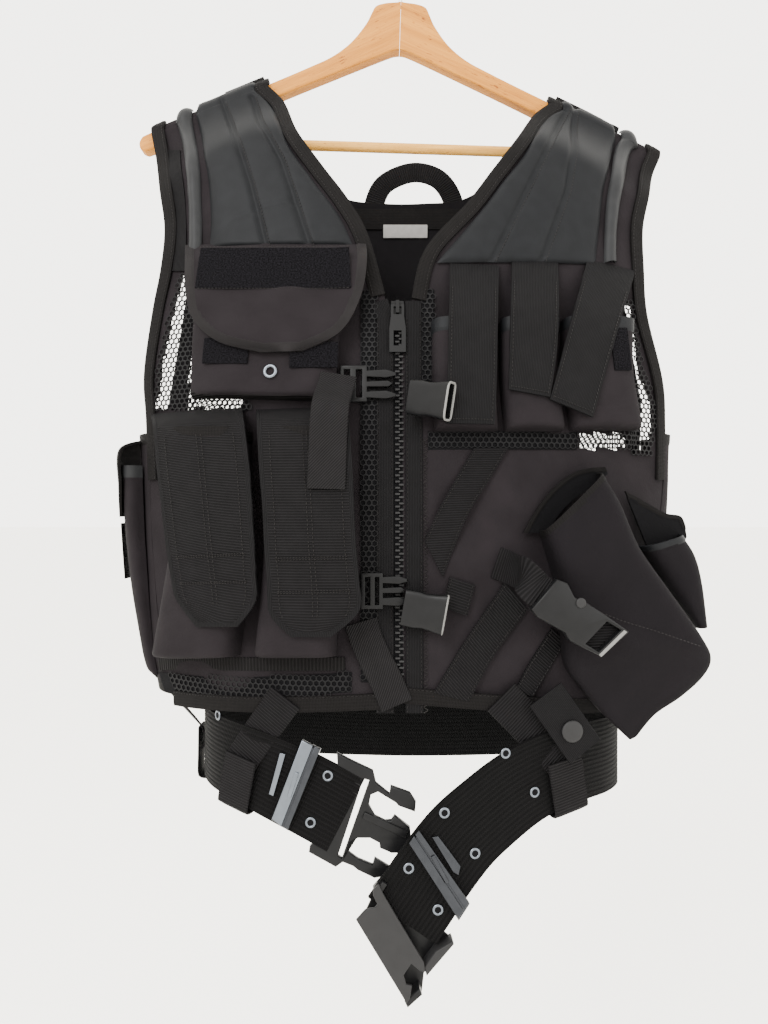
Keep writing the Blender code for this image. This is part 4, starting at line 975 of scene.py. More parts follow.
HANGER_EDGE = 0.0016
HANGER_HALF = (
    (0.0, -0.0585), (0.008, -0.0589), (0.0145, -0.0598), (0.0215, -0.0625), (0.025, -0.069), (0.03, -0.079),
    (0.042, -0.0945), (0.0575, -0.1068), (0.076, -0.1162), (0.1058, -0.13), (0.159, -0.1538),
    (0.212, -0.1776), (0.2195, -0.183), (0.2205, -0.189), (0.217, -0.193), (0.208, -0.191),
    (0.154, -0.1668), (0.1, -0.1418), (0.056, -0.1222), (0.012, -0.103), (0.0, -0.099),
)


def hanger_place(x, y, z):
    """Points of the hanger after its slight roll about the hook."""
    turn_cos, turn_sin = math.cos(HANGER_ROLL), math.sin(HANGER_ROLL)
    return vectors(x * turn_cos + z * turn_sin, y, -x * turn_sin + z * turn_cos)


def build_hanger():
    outline = curved(HANGER_HALF, 0.0025)
    middle = np.stack([np.zeros(12), np.linspace(-0.099, -0.0585, 14)[1:-1]], axis=-1)
    edge = np.concatenate([outline, middle])
    way = np.roll(edge, -1, axis=0) - np.roll(edge, 1, axis=0)
    inward = unit(np.stack([way[:, 1], -way[:, 0]], axis=-1))
    share = np.clip(edge[:, 0] / 0.006, 0.05, 1.0)[:, None]
    for name, hand in (("hanger_left", -1), ("hanger_right", 1)):
        rings = []
        for turn in np.radians((0, 22, 45, 68, 90)):
            ring = edge + inward * HANGER_EDGE * (1 - math.sin(turn)) * share
            rings.append((ring, -HANGER_THICKNESS / 2 + HANGER_EDGE * (1 - math.cos(turn))))
        rings = rings + [(ring, -y) for ring, y in rings[::-1]]
        points = []
        for ring, y in rings:
            x = np.maximum(ring[:, 0], 0.00012) * hand
            points.append(hanger_place(x, y, ring[:, 1]))
        flat = np.array(points).reshape(-1, 3)
        slope = math.radians(24.5) * hand
        weave = vectors(flat[:, 2] * math.cos(slope) + flat[:, 0] * math.sin(slope) + flat[:, 1] * 0.3,
                        np.abs(flat[:, 0]) / math.cos(slope) + hand * 0.7, flat[:, 1])
        faces = ring_faces(len(rings), len(edge))
        add(name, flat, faces, "beech_wood", weave, ("hanger_wood",))
    ends = hanger_place(np.linspace(-BAR_HALF, BAR_HALF, 9), 0.0, -BAR_DROP)
    tube("bar", "beech_pale", ends, BAR_RADIUS, ("hanger_bar",), sides=20, step=0.006)
    centre = HOOK_WIRE - HOOK_RADIUS
    turns = np.radians(np.linspace(-75, 191, 48))
    x = np.concatenate([[0.0, 0.0], HOOK_RADIUS * np.cos(turns)])
    z = np.concatenate([[-0.06, -0.05], centre + HOOK_RADIUS * np.sin(turns)])
    radii = [HOOK_WIRE] * 40 + [HOOK_WIRE, HOOK_WIRE * 0.4]
    tube("hook", "steel", hanger_place(x, 0.0, z), radii, ("hanger_hook",), sides=14, step=0.0015)


# The cloth body.

LEFT_PANEL = with_shoulder(FRONT_LEFT_TOP, FRONT_LEFT_ROWS)
RIGHT_PANEL = with_shoulder(FRONT_RIGHT_TOP, FRONT_RIGHT_ROWS)

# Places px, py where the front is net and not cloth.
LEFT_ARM_NET = (
    (182, 272), (196, 274), (194, 358), (193, 398), (252, 399), (252, 412), (150, 412), (156, 398),
    (160, 358),
)
RIGHT_ARM_NET = (
    (622, 301), (631, 301), (634, 322), (643, 373), (652, 397), (654, 422), (650, 457), (630, 457),
    (632, 422), (632, 389), (634, 364), (625, 322),
)
RIGHT_LOW_NET = ((576, 432), (632, 432), (632, 450), (576, 450))
# Places of net with a near-black sheet laid under it: painted shade for the dark inside seen through its
# holes.
NETS_OVER_PAINTED_SHADE = {
    "net_zip_left": ((361, 292), (376, 292), (376, 682), (361, 682)),
    "net_zip_right": ((422, 290), (434, 290), (434, 383), (422, 383)),
    "net_hem": ((160, 672), (352, 672), (352, 692), (166, 692)),
    "net_right": ((428, 432), (576, 432), (576, 450), (428, 450)),
}


NET_HEM = 0.003


def outside(polygons, x, z):
    """Which faces of a grid lie outside polygons of net, each drawn in by the net's hem."""
    middle_x = (x[:-1, :-1] + x[1:, 1:]) / 2
    middle_z = (z[:-1, :-1] + z[1:, 1:]) / 2
    keep = np.ones(middle_x.shape, bool)
    for polygon in polygons:
        polygon = np.asarray(polygon, float)
        way = polygon.mean(axis=0) - polygon
        away = np.maximum(np.linalg.norm(way, axis=1), 1e-6)
        keep &= ~inside(polygon + way * np.minimum(0.5, NET_HEM / away)[:, None], middle_x, middle_z)
    return keep


def panel_outline(rows, inset):
    """The edge of a front panel as x and z places."""
    rows = np.array(rows)
    left = rows[:, :2] + (inset, 0.0)
    right = rows[::-1, 2:] - (inset, 0.0)
    return np.concatenate([left, right])


def build_body():
    open_nets = {"net_arm_left": LEFT_ARM_NET, "net_arm_right": RIGHT_ARM_NET, "net_low_right": RIGHT_LOW_NET}
    open_nets = {name: sight(places) for name, places in open_nets.items()}
    for name, rows, seed in (("front_left", LEFT_PANEL, 3), ("front_right", RIGHT_PANEL, 5)):
        across = shares(90)
        down = shares(200)
        x, z = spread(rows, across, down)
        ease = np.clip((ridge(x)[0] - z) / 0.05, 0.0, 1.0) * np.minimum(1.0, 8 * across * (1 - across))
        ease = ease * (1 + 1.1 * np.clip((-z - 0.45) / 0.05, 0.0, 1.0) * np.clip(x / 0.03, 0.0, 1.0))
        grid = front_spot(x, z, folds(x, z, seed, 0.085, 0.0024) * ease)[0]
        keep = outside(open_nets.values(), x, z)
        thing = shell(name + "_cloth", grid, CLOTH_SHOWN, "nylon", (name,), keep=keep)
    edges = {-1: panel_outline(FRONT_LEFT_ROWS, 0.004), 1: panel_outline(FRONT_RIGHT_ROWS, 0.004)}
    for name, polygon in open_nets.items():
        net(name, polygon, front_spot, 0.0012, edges[-1 if polygon[0][0] < 0 else 1])
    for name, places in NETS_OVER_PAINTED_SHADE.items():
        polygon = sight(places)
        hand = -1 if polygon[0][0] < 0 else 1
        net(name, polygon, front_spot, 0.0012, edges[hand])
        top_left, top_right, low_right, low_left = polygon
        rows = [(*(top_left + (low_left - top_left) * share), *(top_right + (low_right - top_right) * share))
                for share in shares(5)]
        grid = lifted(rows, front_spot, 0.001, (20, 60))
        # A near-black sheet under the net: painted shade that shows through its holes.
        shell(name + "_painted_shade", grid, 0.0006, "nylon_black")
    build_back()
    for name, hand in (("side_left", -1), ("side_right", 1)):
        turn = shares(50) if hand > 0 else np.linspace(1.0, 0.0, 50)
        z = np.linspace(SIDE_ROWS[0], SIDE_ROWS[-1], 70)
        turns, heights = np.meshgrid(turn, z)
        grid = side_spot(hand, turns, heights, folds(turns * 0.1, heights, 11 + hand, 0.07, 0.0012))[0]
        thing = shell(name + "_cloth", grid, CLOTH_SHOWN, "nylon", (name,), toward=np.array((hand, 0.0, 0.0)),
                      rim=("binding", ("top", "bottom"), 0.008, 0.0006))


# Places x, z of net at the sides of the back.
BACK_NETS = {
    "net_back_left": ((-0.18, -0.292), (-0.146, -0.292), (-0.146, -0.426), (-0.196, -0.426), (-0.192, -0.36)),
    "net_back_right": ((0.15, -0.302), (0.184, -0.302), (0.196, -0.36), (0.2, -0.466), (0.15, -0.466)),
}


def build_back():
    columns = np.interp(np.linspace(0, 1, 111), np.linspace(0, 1, len(BACK_COLUMNS)), BACK_COLUMNS)
    neck = curved(BACK_NECK[1:-1], 0.004)
    crest = ridge(columns)[0] - SHOULDER_DROPS[0]
    in_neck = (columns > BACK_NECK[1][0]) & (columns < BACK_NECK[-2][0])
    top = np.where(in_neck, np.minimum(crest, np.interp(columns, neck[:, 0], neck[:, 1])), crest)
    share = shares(150) ** 1.35
    hem = BACK_ROWS[-1]
    z = top[None, :] + (hem - top[None, :]) * share[:, None]
    x = columns[None, :] * back_width(z)
    lift = folds(x, z, 21, 0.1, 0.0025) * np.clip((ridge(x)[0] - z) / 0.06, 0.0, 1.0)
    grid = back_spot(x, z, lift)[0]
    for name, polygon in BACK_NETS.items():
        net(name, polygon, back_spot, 0.0014)
    keep = outside(BACK_NETS.values(), x, z)
    thing = shell("back_cloth", grid, CLOTH_SHOWN, "nylon", ("back_panel",), toward=BACK, keep=keep,
                  rim=("binding", ("left", "right", "bottom"), 0.009, 0.0007), lining="nylon_dark")
    line = on_cloth(back_spot, np.array(BACK_NECK[2:-2]) + (0.0, -0.004), 0.0006)
    tape("back_neck_binding", "binding", line, 0.011, 0.0014)
    yoke = [(x, -0.262 - 0.02 * (abs(x) / 0.18) ** 2) for x in np.linspace(-0.186, 0.188, 15)]
    tape("back_yoke", "web_cross", on_cloth(back_spot, yoke, 0.0008), 0.025, 0.0012)
    for name, finish, places, width, thickness in (
            ("collar_band", "binding", [(x, -0.23) for x in np.linspace(-0.078, 0.082, 9)], 0.018, 0.001),
            ("neck_label", "label", [(x, -0.2405) for x in np.linspace(-0.017, 0.023, 5)], 0.0118, 0.0016)):
        line = on_cloth(back_spot, places, -CLOTH_SHOWN - 0.0004)
        line[:, 3:6] = -line[:, 3:6]
        tape(name, finish, line, width, thickness)


# Shoulders.

PADS = (
    ("shoulder_pad_left", PAD_LEFT_TOP,
     ((201, 138, 271, 104), (206, 168, 287, 142), (209, 195, 313, 180), (210, 222, 338, 213),
      (209, 248, 353, 245)),
     (((222, 102), (235, 136), (250, 182), (267, 250)), ((252, 98), (260, 123), (281, 160), (311, 250)),
      ((212, 240), (235, 219), (264, 207), (292, 202)))),
    ("shoulder_pad_right", PAD_RIGHT_TOP,
     ((546, 118, 615, 143), (527, 150, 607, 177), (501, 184, 602, 205), (477, 215, 599, 235),
      (437, 262, 596, 264)),
     (((566, 110), (530, 182), (491, 262)), ((594, 112), (567, 190), (541, 262)))),
)
PAD_RISE = 0.003
SEWN_SEAMS = 2


def build_pads(sewing):
    for name, top, places, seams in PADS:
        table = with_shoulder(top, seen_rows(places, PAD_RISE))
        across = shares(90)
        down = shares(120)
        x, z = spread(table, across, down)
        away = np.minimum(across, 1 - across)[None, :]
        low_edge = np.clip((1 - down) / 0.02, 0.0, 1.0)[:, None] ** 0.5
        lift = PAD_OVERLAY + PAD_RISE * (1 - np.exp(-away / 0.03)) * low_edge
        for number, seam in enumerate(seams):
            line = sight(seam, PAD_RISE)
            lift = lift + crease(x, z, line, 0.0026, -0.0022 if number < SEWN_SEAMS else -0.0008)
            if number < SEWN_SEAMS:
                beside = walk(line, STITCH) + (0.0035, 0.0)
                sewing.row(on_cloth(front_spot, beside, PAD_OVERLAY + PAD_RISE - 0.0004))
        lift = np.maximum(lift, PAD_OVERLAY + 0.0002) + folds(x, z, 31, 0.035, 0.0007)
        thing = shell(name + "_hide", front_spot(x, z, lift)[0], 0.001, "hide", (name,))


RIBS = (
    ("shoulder_rib_left", RIB_LEFT_TOP,
     ((178, 128, 193, 128), (184, 160, 198, 160), (187, 195, 200, 195), (188, 225, 201, 225),
      (187, 258, 200, 258))),
    ("shoulder_rib_right", RIB_RIGHT_TOP,
     ((616, 148, 631, 152), (610, 185, 624, 187), (606, 225, 618, 226), (605, 262, 617, 262))),
)
RIB_RISE = 0.0044


def rib_lift(across, down):
    return PAD_OVERLAY + RIB_RISE * np.sin(math.pi * across) ** 0.6 + 0 * down


def build_ribs():
    for name, top, places in RIBS:
        table = with_shoulder(top, seen_rows(places, 0.003))
        grid = lifted(table, front_spot, rib_lift, (20, 90), (37, 0.02, 0.0004))
        thing = shell(name + "_hide", grid, 0.001, "hide_rim", (name,))


def build_shoulder_straps():
    rows = seen_rows(((163, 150, 180, 150), (169, 190, 184, 190), (172, 225, 186, 225), (168, 250, 186, 250),
                      (163, 271, 187, 271)), 0.001)
    shell("armhole_band", lifted(rows, front_spot, 0.0012, (14, 60)), 0.0012, "web_fine")
    for name, left, right in (("shoulder_strap_left", -0.176, -0.15), ("shoulder_strap_right", 0.16, 0.186)):
        middle = (left + right) / 2
        drops = SHOULDER_DROPS + (0.03, 0.055, 0.08)
        lifts = np.array((0.0044, 0.0044, 0.004, 0.0032, 0.0016, 0.0006, OVERLAY - 0.0008))
        line = on_cloth(back_spot, [(middle, ridge(middle)[0] - drop) for drop in drops], lifts)
        tape(name + "_web", "web_cross", line, right - left, 0.0056, (name,))
        ends = (right - 0.001, right + 0.032) if right < 0 else (left - 0.03, left + 0.001)
        places = [(x, ridge(x)[0] - SHOULDER_DROPS[0]) for x in np.linspace(*ends, 5)]
        line = on_cloth(back_spot, places, 0.0004)
        tape(name + "_strip", "binding", line, 0.013, 0.0056)


def edge_line(top, rows, column, inset, lift):
    places = [(top + inset, ridge(top + inset)[0] - drop) for drop in SHOULDER_DROPS]
    places += [(row[column] + inset, row[column + 1]) for row in rows]
    return on_cloth(front_spot, places, lift)


def build_bindings(sewing):
    edges = (
        ("neck_binding_left", FRONT_LEFT_TOP[1], FRONT_LEFT_ROWS[:6], 2, -0.005),
        ("armhole_binding_left", FRONT_LEFT_TOP[0], FRONT_LEFT_ROWS[:8], 0, 0.0046),
        ("neck_binding_right", FRONT_RIGHT_TOP[0], FRONT_RIGHT_ROWS[:6], 0, 0.005),
        ("armhole_binding_right", FRONT_RIGHT_TOP[1], FRONT_RIGHT_ROWS[:8], 2, -0.0046),
    )
    for name, top, rows, column, inset in edges:
        line = edge_line(top, rows, column, inset, 0.0002)
        tape(name + "_tape", "binding", line, 0.0115, 0.0024, (name,))
        seam = edge_line(top, rows, column, inset * 1.75, 0.0026)
        sewing.row(curved(seam, 0.002))
    for name, rows in (("hem_binding_left", LEFT_PANEL), ("hem_binding_right", RIGHT_PANEL)):
        left_x, left_z, right_x, right_z = rows[-1]
        share = np.linspace(0.005, 0.995, 15)
        places = np.stack([left_x + (right_x - left_x) * share, left_z + (right_z - left_z) * share], axis=-1)
        line = on_cloth(front_spot, places + (0.0, 0.005), 0.0002)
        tape(name + "_tape", "binding", line, 0.012, 0.0024, (name,))
        sewing.row(on_cloth(front_spot, places + (0.0, 0.0098), 0.0026))


# The zip.

TEETH_X = -0.005
PLACKET_START = -0.336
PLACKET_END = -0.642
TOOTH = np.array((0.0023, 0.0013, 0.0009))
TOOTH_PITCH = 0.0023
TOOTH_TAPER = 0.72
TOOTH_CORNERS = (
    (-1, -1, -1), (1, -1, -1), (1, -1, 1), (-1, -1, 1), (-1, 1, -1), (1, 1, -1), (1, 1, 1), (-1, 1, 1),
)
TOOTH_FACES = ((0, 1, 2, 3), (7, 6, 5, 4), (0, 4, 5, 1), (1, 5, 6, 2), (2, 6, 7, 3), (3, 7, 4, 0))


def build_zip(sewing):
    for name, left, right, aside in (("zip_placket_left", -0.0222, -0.0092, -0.0042),
                                     ("zip_placket_right", -0.0006, 0.0122, 0.0)):
        heights = np.linspace(PLACKET_START, PLACKET_END, 24)
        middle = (left + right) / 2 + aside * (heights == PLACKET_START)
        line = on_cloth(front_spot, np.stack([middle, heights], axis=-1), 0.0004)
        tape(name + "_tape", "web_fine", line, right - left, 0.0012, (name,))
        for edge in (left + 0.0014, right - 0.0014):
            sewing.row(on_cloth(front_spot, [(edge, z) for z in heights[1:]], 0.0018))
    heights = np.linspace(-0.442, PLACKET_END, 18)
    sewing.row(on_cloth(front_spot, [(0.014, z) for z in heights], 0.0012), 0.0022, zigzag=0.004)
    points, faces = [], []
    for number, z in enumerate(np.arange(-0.354, ZIP_BOTTOM, -TOOTH_PITCH)):
        hand = 1 if number % 2 else -1
        place = front_spot(TEETH_X + hand * 0.0014, z, 0.0002)[0]
        base = len(points)
        for x, y, z in TOOTH_CORNERS:
            taper = TOOTH_TAPER if y < 0 else 1.0
            points.append(place + TOOTH * (x * taper, y, z * taper))
        for quad in TOOTH_FACES:
            faces.append([base + k for k in quad])
    points = np.array(points)
    # The teeth get the lighter grey plastic: a painted glint.
    add("zip_teeth", points, faces, "plastic_grey", points[:, [0, 2, 1]], ("zip_chain",))
    line = on_cloth(front_spot, [(TEETH_X, z) for z in np.linspace(ZIP_TOP, ZIP_BOTTOM, 20)], -0.0012)
    tape("zip_tape", "nylon_black", line, 0.01, 0.0008)


# Pouches.

def pouch(name, grid, edge, finish="nylon", toward=FRONT):
    """A pouch's walls, open at the top. edge is the finish, width and raise of its rim."""
    rim_finish, width, height = edge
    rim = (rim_finish, ("top",), width, height)
    shell(name + "_body", grid, WALL, finish, (name,), toward=toward, rim=rim, lining="nylon_black")


def flap(name, places, finish, lifts, thickness, size, rim, wave):
    """A hanging flap, whose place and lift are given for each row."""
    grid = lifted(seen_rows(places, lifts), front_spot, row_lift(lifts), size, wave)
    if rim:
        rim_finish, width, height = rim
        rim = (rim_finish, ("left", "right", "bottom"), width, height)
    thing = shell(name + "_web", grid, thickness, finish, (name,), rim=rim)
    return grid


def stitch_columns(sewing, grid, columns, lift, part):
    for column in columns:
        sewing.row(grid_line(grid, FRONT, column=column, lift=lift, part=part))


ID_FLAP_PLACES = (
    (186, 246, 366, 245), (185, 262, 367, 258), (186, 290, 364, 284), (191, 314, 356, 308),
    (203, 331, 345, 327), (224, 344, 330, 339), (262, 353, 302, 351),
)
ID_FLAP_LIFTS = (OVERLAY + 0.001, 0.012, 0.016, 0.0168, 0.0166, 0.0164, 0.0162)


def build_id_pouch(sewing):
    grid = pouch_grid(ID_POUCH_ROWS, front_spot, OVERLAY, 0.0127, (70, 60), closed=0.9,
                      wave=(41, 0.05, 0.0022))
    shell("id_pouch_body", grid, WALL, "nylon", ("id_pouch",), rim=("zigzag", ("bottom",), 0.01, 0.0005))
    flap("id_flap", ID_FLAP_PLACES, "nylon", ID_FLAP_LIFTS, 0.0022, (96, 80),
         ("binding_satin", 0.0072, 0.0009), (43, 0.06, 0.0014))
    band = sight(((198, 268), (225, 268), (262, 268), (300, 268), (330, 268), (350, 267)), 0.016)
    tape("id_band", "hook_loop", on_cloth(front_spot, band, 0.015), 0.033, 0.0016)
    for row in (0.0158, -0.0158):
        sewing.row(on_cloth(front_spot, band + (0.0, row), 0.0168))
    for number, places in enumerate((((204, 351), (249, 351)), ((290, 355), (338, 355)))):
        line = on_cloth(front_spot, sight(places, 0.0135), 0.0138)
        tape("id_patch_%d" % (number + 1), "hook_loop", line, 0.02, 0.0012)
    (eyelet,) = on_cloth(front_spot, sight(((270, 371),), 0.014), 0.0142)
    ring_at("id_eyelet", eyelet[:3], eyelet[3:], 0.0042, 0.0008, "silver")


MAG_FLAP_LIFTS = (OVERLAY + 0.001, 0.024, 0.0296, 0.03, 0.0298, 0.0296, 0.0294, 0.0292)
MAG_FLAP_PLACES = (
    (
        (151, 414, 242, 408), (153, 428, 244, 424), (157, 470, 249, 466), (163, 512, 252, 508),
        (167, 548, 254, 544), (171, 576, 255, 572), (176, 599, 255, 601), (196, 627, 237, 627),
    ),
    (
        (256, 410, 347, 407), (257, 424, 349, 421), (259, 466, 352, 464), (262, 508, 354, 508),
        (264, 548, 356, 546), (267, 582, 359, 580), (270, 614, 359, 611), (291, 637, 331, 637),
    ),
)
MAG_BODY_PLACES = (
    ((168, 428, 241, 428), (168, 540, 241, 540), (169, 655, 241, 655)),
    ((261, 428, 337, 428), (261, 540, 337, 540), (262, 655, 337, 655)),
)


def build_mag_pouches(sewing):
    for number, (body, places) in enumerate(zip(MAG_BODY_PLACES, MAG_FLAP_PLACES), start=1):
        rows = seen_rows(body, (0.02, 0.02, OVERLAY))
        grid = pouch_grid(rows, front_spot, OVERLAY, 0.0256, (70, 80), closed=0.93,
                          wave=(50 + number, 0.06, 0.0026))
        pouch("mag_pouch_%d" % number, grid, ("binding", 0.008, 0.0006))
        grid = flap("mag_flap_%d" % number, places, "web_cross", MAG_FLAP_LIFTS, 0.0022, (80, 120),
                    ("web_fine", 0.0035, 0.0003), (60 + number, 0.1, 0.0014))
        stitch_columns(sewing, grid, (10, 38, 42, 69), 0.0004, slice(21, 106))
        for row in (73, 74, 90, 91):
            sewing.row(grid_line(grid, FRONT, row=row, lift=0.0004, part=slice(8, 72)), 0.0022)
    line = on_cloth(front_spot, sight(((159, 664), (220, 664), (285, 664), (345, 664)), 0.001), 0.0008)
    tape("hem_band", "zigzag", line, 0.01, 0.001)


def build_side_pouch():
    toward = np.array((-1.0, 0.0, 0.0))

    def spot(x, z, lift):
        return side_spot(-1, x, z, lift)

    rows = ((0.84, -0.458, 0.14, -0.458), (0.84, -0.54, 0.14, -0.54), (0.8, -0.628, 0.18, -0.628))
    grid = pouch_grid(rows, spot, SIDE_OVERLAY, 0.015, (60, 60), closed=0.9, heights=(0.015, 0.013, 0.007))
    pouch("side_pouch", grid, ("hide_rim", 0.01, 0.0008), toward=toward)
    rows = ((0.84, -0.438, 0.16, -0.438), (0.84, -0.446, 0.16, -0.446), (0.8, -0.475, 0.2, -0.475),
            (0.72, -0.5, 0.28, -0.5))
    grid = lifted(rows, spot, row_lift((SIDE_OVERLAY, 0.0175, 0.0182, 0.0182)), (44, 44))
    thing = shell("side_flap_cloth", grid, 0.0022, "nylon", ("side_flap",), toward=toward,
                  rim=("binding", ("left", "right", "bottom"), 0.007, 0.0008))
    places = [(0.5, -0.505), (0.5, -0.53), (0.5, -0.552)]
    tape("side_band", "web_cross", on_cloth(spot, places, 0.0168), 0.026, 0.0012)


SMALL_FLAP_LIFTS = (OVERLAY + 0.001, 0.019, 0.0204, 0.0202)
SMALL_FLAP_PLACES = (
    ((450, 263, 499, 265), (449, 316, 498, 318), (448, 370, 497, 371), (446, 423, 495, 424)),
    ((512, 261, 558, 262), (511, 306, 559, 308), (510, 348, 557, 350), (509, 389, 550, 397)),
    ((587, 260, 635, 271), (575, 307, 621, 320), (563, 353, 607, 369), (550, 399, 593, 417)),
)
SMALL_BODY_PLACES = (
    ((433, 318, 497, 318), (433, 372, 497, 372), (434, 432, 496, 432)),
    ((503, 317, 561, 317), (503, 372, 561, 372), (504, 432, 560, 432)),
    ((568, 316, 637, 319), (568, 372, 637, 372), (569, 431, 633, 431)),
)


def build_small_pouches(sewing):
    for number, (body, places) in enumerate(zip(SMALL_BODY_PLACES, SMALL_FLAP_PLACES), start=1):
        rows = seen_rows(body, (0.014, 0.014, OVERLAY))
        grid = pouch_grid(rows, front_spot, OVERLAY, 0.0168, (44, 44), closed=0.88,
                          wave=(70 + number, 0.05, 0.0014))
        pouch("small_pouch_%d" % number, grid, ("hide", 0.01, 0.0008))
        grid = flap("small_flap_%d" % number, places, "web_fine", SMALL_FLAP_LIFTS, 0.0019, (50, 90), None,
                    (80 + number, 0.07, 0.0008))
        stitch_columns(sewing, grid, (3, 46), 0.0003, slice(15, 88))
        sewing.row(grid_line(grid, FRONT, row=85, lift=0.0003, part=slice(3, 47)), 0.0022)
    line = on_cloth(front_spot, sight(((612, 349), (629, 349)), 0.018), 0.0178)
    tape("small_patch", "hook_loop", line, 0.033, 0.0012)


WEBBING_PLACES = (
    (
        'webbing_1_band', ('webbing_1',),
        ((474, 448, 508, 448), (453, 484, 490, 479), (437, 513, 466, 519), (425, 541, 443, 577)),
    ),
    (
        'webbing_2_band', ('webbing_2',),
        ((505, 582, 528, 609), (484, 613, 514, 628), (462, 646, 491, 661), (434, 693, 469, 702)),
    ),
    (
        'webbing_3_band', (),
        ((552, 628, 566, 641), (538, 650, 554, 662), (526, 670, 543, 680), (516, 690, 533, 697)),
    ),
    (
        'webbing_tab', (),
        ((450, 577, 475, 585), (448, 586, 473, 594), (445, 597, 470, 605), (442, 607, 467, 616)),
    ),
)


def build_webbing(sewing):
    for name, nodes, places in WEBBING_PLACES:
        grid = lifted(seen_rows(places, 0.003), front_spot, OVERLAY + 0.0022, (28, 70))
        shell(name, grid, 0.0018, "web_cross", nodes)
        stitch_columns(sewing, grid, (2, 25), 0.0003, slice(2, 68))


# The holster.

HOLSTER_LOOK = (0.13, -1.0, 0.0)
HOLSTER_PLACES = (
    (547, 531, 605, 472), (553, 550, 624, 500), (561, 574, 646, 549), (568, 606, 676, 592),
    (568, 640, 709, 640), (570, 670, 717, 661), (585, 692, 707, 679), (600, 711, 684, 698),
    (616, 727, 657, 715), (631, 741, 636, 738),
)
HOLSTER_LIFTS = (0.026, 0.032, 0.035, 0.032, 0.028, 0.022, 0.018, 0.014, 0.011, 0.008)
HOLSTER_LIP = (
    (523, 533, 549, 533), (534, 513, 554, 522), (547, 495, 562, 511), (560, 482, 574, 499),
    (575, 472, 588, 489), (590, 468, 598, 481), (605, 467, 608, 474),
)
POCKET_PLACES = ((646, 547, 687, 535), (664, 573, 700, 556), (681, 600, 707, 586), (700, 630, 711, 630))
POCKET_LIP = (
    (625, 491, 648, 548), (638, 498, 653, 552), (650, 505, 660, 552), (665, 513, 671, 550),
    (680, 516, 681, 545), (685, 525, 687, 537),
)


def build_lip(name, places, spot, lift):
    """The far edge of an open mouth."""
    grid = lifted(seen_rows(places, lift, spot), spot, lift, (24, 70))
    shell(name, grid, WALL, "nylon_black", rim=("binding", ("left",), 0.0035, 0.0006))


def build_holster(sewing):
    rows = seen_rows(HOLSTER_PLACES, HOLSTER_LIFTS, holster_spot)
    grid = pouch_grid(rows, holster_spot, 0.0, 0.0, (90, 90), power=5.5, closed=0.97, heights=HOLSTER_LIFTS,
                      wave=(91, 0.07, 0.0034))
    pouch("holster", grid, ("binding", 0.005, 0.0008), "nylon_holster")
    build_lip("holster_lip", HOLSTER_LIP, holster_spot, 0.003)
    seam = sight(((600, 612), (623, 621), (653, 630), (700, 646)), 0.03, holster_spot)
    point = holster_spot(seam[:, 0], seam[:, 1], 0.0318)[0]
    sewing.row(curved(np.concatenate([point, np.tile(HOLSTER_LOOK, (4, 1))], axis=1), 0.002))
    rows = seen_rows(POCKET_PLACES, HOLSTER_POCKET_THICKNESS, pocket_spot)
    grid = pouch_grid(rows, pocket_spot, 0.0, HOLSTER_POCKET_THICKNESS, (48, 48), power=3.0, closed=0.94,
                      wave=(93, 0.05, 0.0014))
    pouch("holster_pocket", grid, ("hide", 0.005, 0.0008), "nylon_holster")
    build_lip("holster_pocket_lip", POCKET_LIP, pocket_spot, 0.002)
    build_holster_strap()


def build_holster_strap():
    line = np.array([
        (0.066, -0.1015, -0.533, -0.2, -1.0, 0.0),
        (0.074, -0.107, -0.536, -0.6, -1.0, 0.0),
        (0.08, -0.119, -0.539, -1.0, -0.5, 0.0),
        (0.0815, -0.13, -0.539, -1.0, -0.7, 0.0),
        (*at_depth((534, 587, -0.1368)), 0.1, -1.0, 0.0),
        (*at_depth((550, 599, -0.1372)), 0.1, -1.0, 0.0),
    ])
    tape("holster_strap_web", "web_cross", line, 0.024, 0.0018, ("holster_strap",), step=0.001)
    point = at_depth((578, 614, -0.1376))
    look = (0.1, -1.0, 0.0)
    outline = ((555.5, 579), (530, 608.5), (536, 616.5), (563.5, 632), (568, 640), (578, 645.5), (600, 656),
               (627, 631), (604.5, 615), (586, 603), (573, 597), (566, 583))
    window = ((584, 643), (597, 651), (619, 629.5), (605, 621))
    seen_plate("holster_clip", "plastic", (outline, window), point, look, 0.009, 0.0014, ("holster_buckle",))
    seen_plate("holster_clip_web", "web_cross", (window,), point + (0.0, 0.002, 0.0), look, 0.002, 0.0004)
    # The clip's bar is near-white plastic: a painted highlight.
    bar = ((624, 630), (599, 654.5), (601, 657), (627, 632))
    seen_plate("holster_clip_bar", "plastic_rim", (bar,), point + (0.0, -0.0042, 0.0), look, 0.0016, 0.0004)
    disc_at("holster_clip_boss", at_depth((581, 603, -0.1421)), look, 0.0035, 0.0012, "plastic_grey")


def seen_plate(name, finish, loops, point, look, thickness, rounding, nodes=()):
    """A moulded plate whose outlines are places px, py, on a flat through a point."""
    look = unit(np.asarray(look, float))
    matrix = stand(point, np.cross((0.0, 0.0, 1.0), look), look)
    flat = []
    for loop in loops:
        loop = np.asarray(loop, float)
        ray = vectors((loop[:, 0] - MIDDLE_X) / FOCAL, 1.0, (MIDDLE_Y - loop[:, 1]) / FOCAL)
        share = np.dot(point - CAMERA, look) / (ray @ look)
        place = (CAMERA + ray * share[:, None] - point) @ matrix[0]
        flat.append(place[:, [0, 2]])
    return plate(name, finish, flat, thickness, rounding, nodes, matrix)


def cloth_place(px, py, lift):
    """The point that shows at a place px, py when it lies on the front cloth, and its look."""
    (place,) = sight(((px, py),), lift)
    point, look = front_spot(place[None, 0], place[None, 1], lift)
    return point[0], look[0]


# Chest buckles and straps.

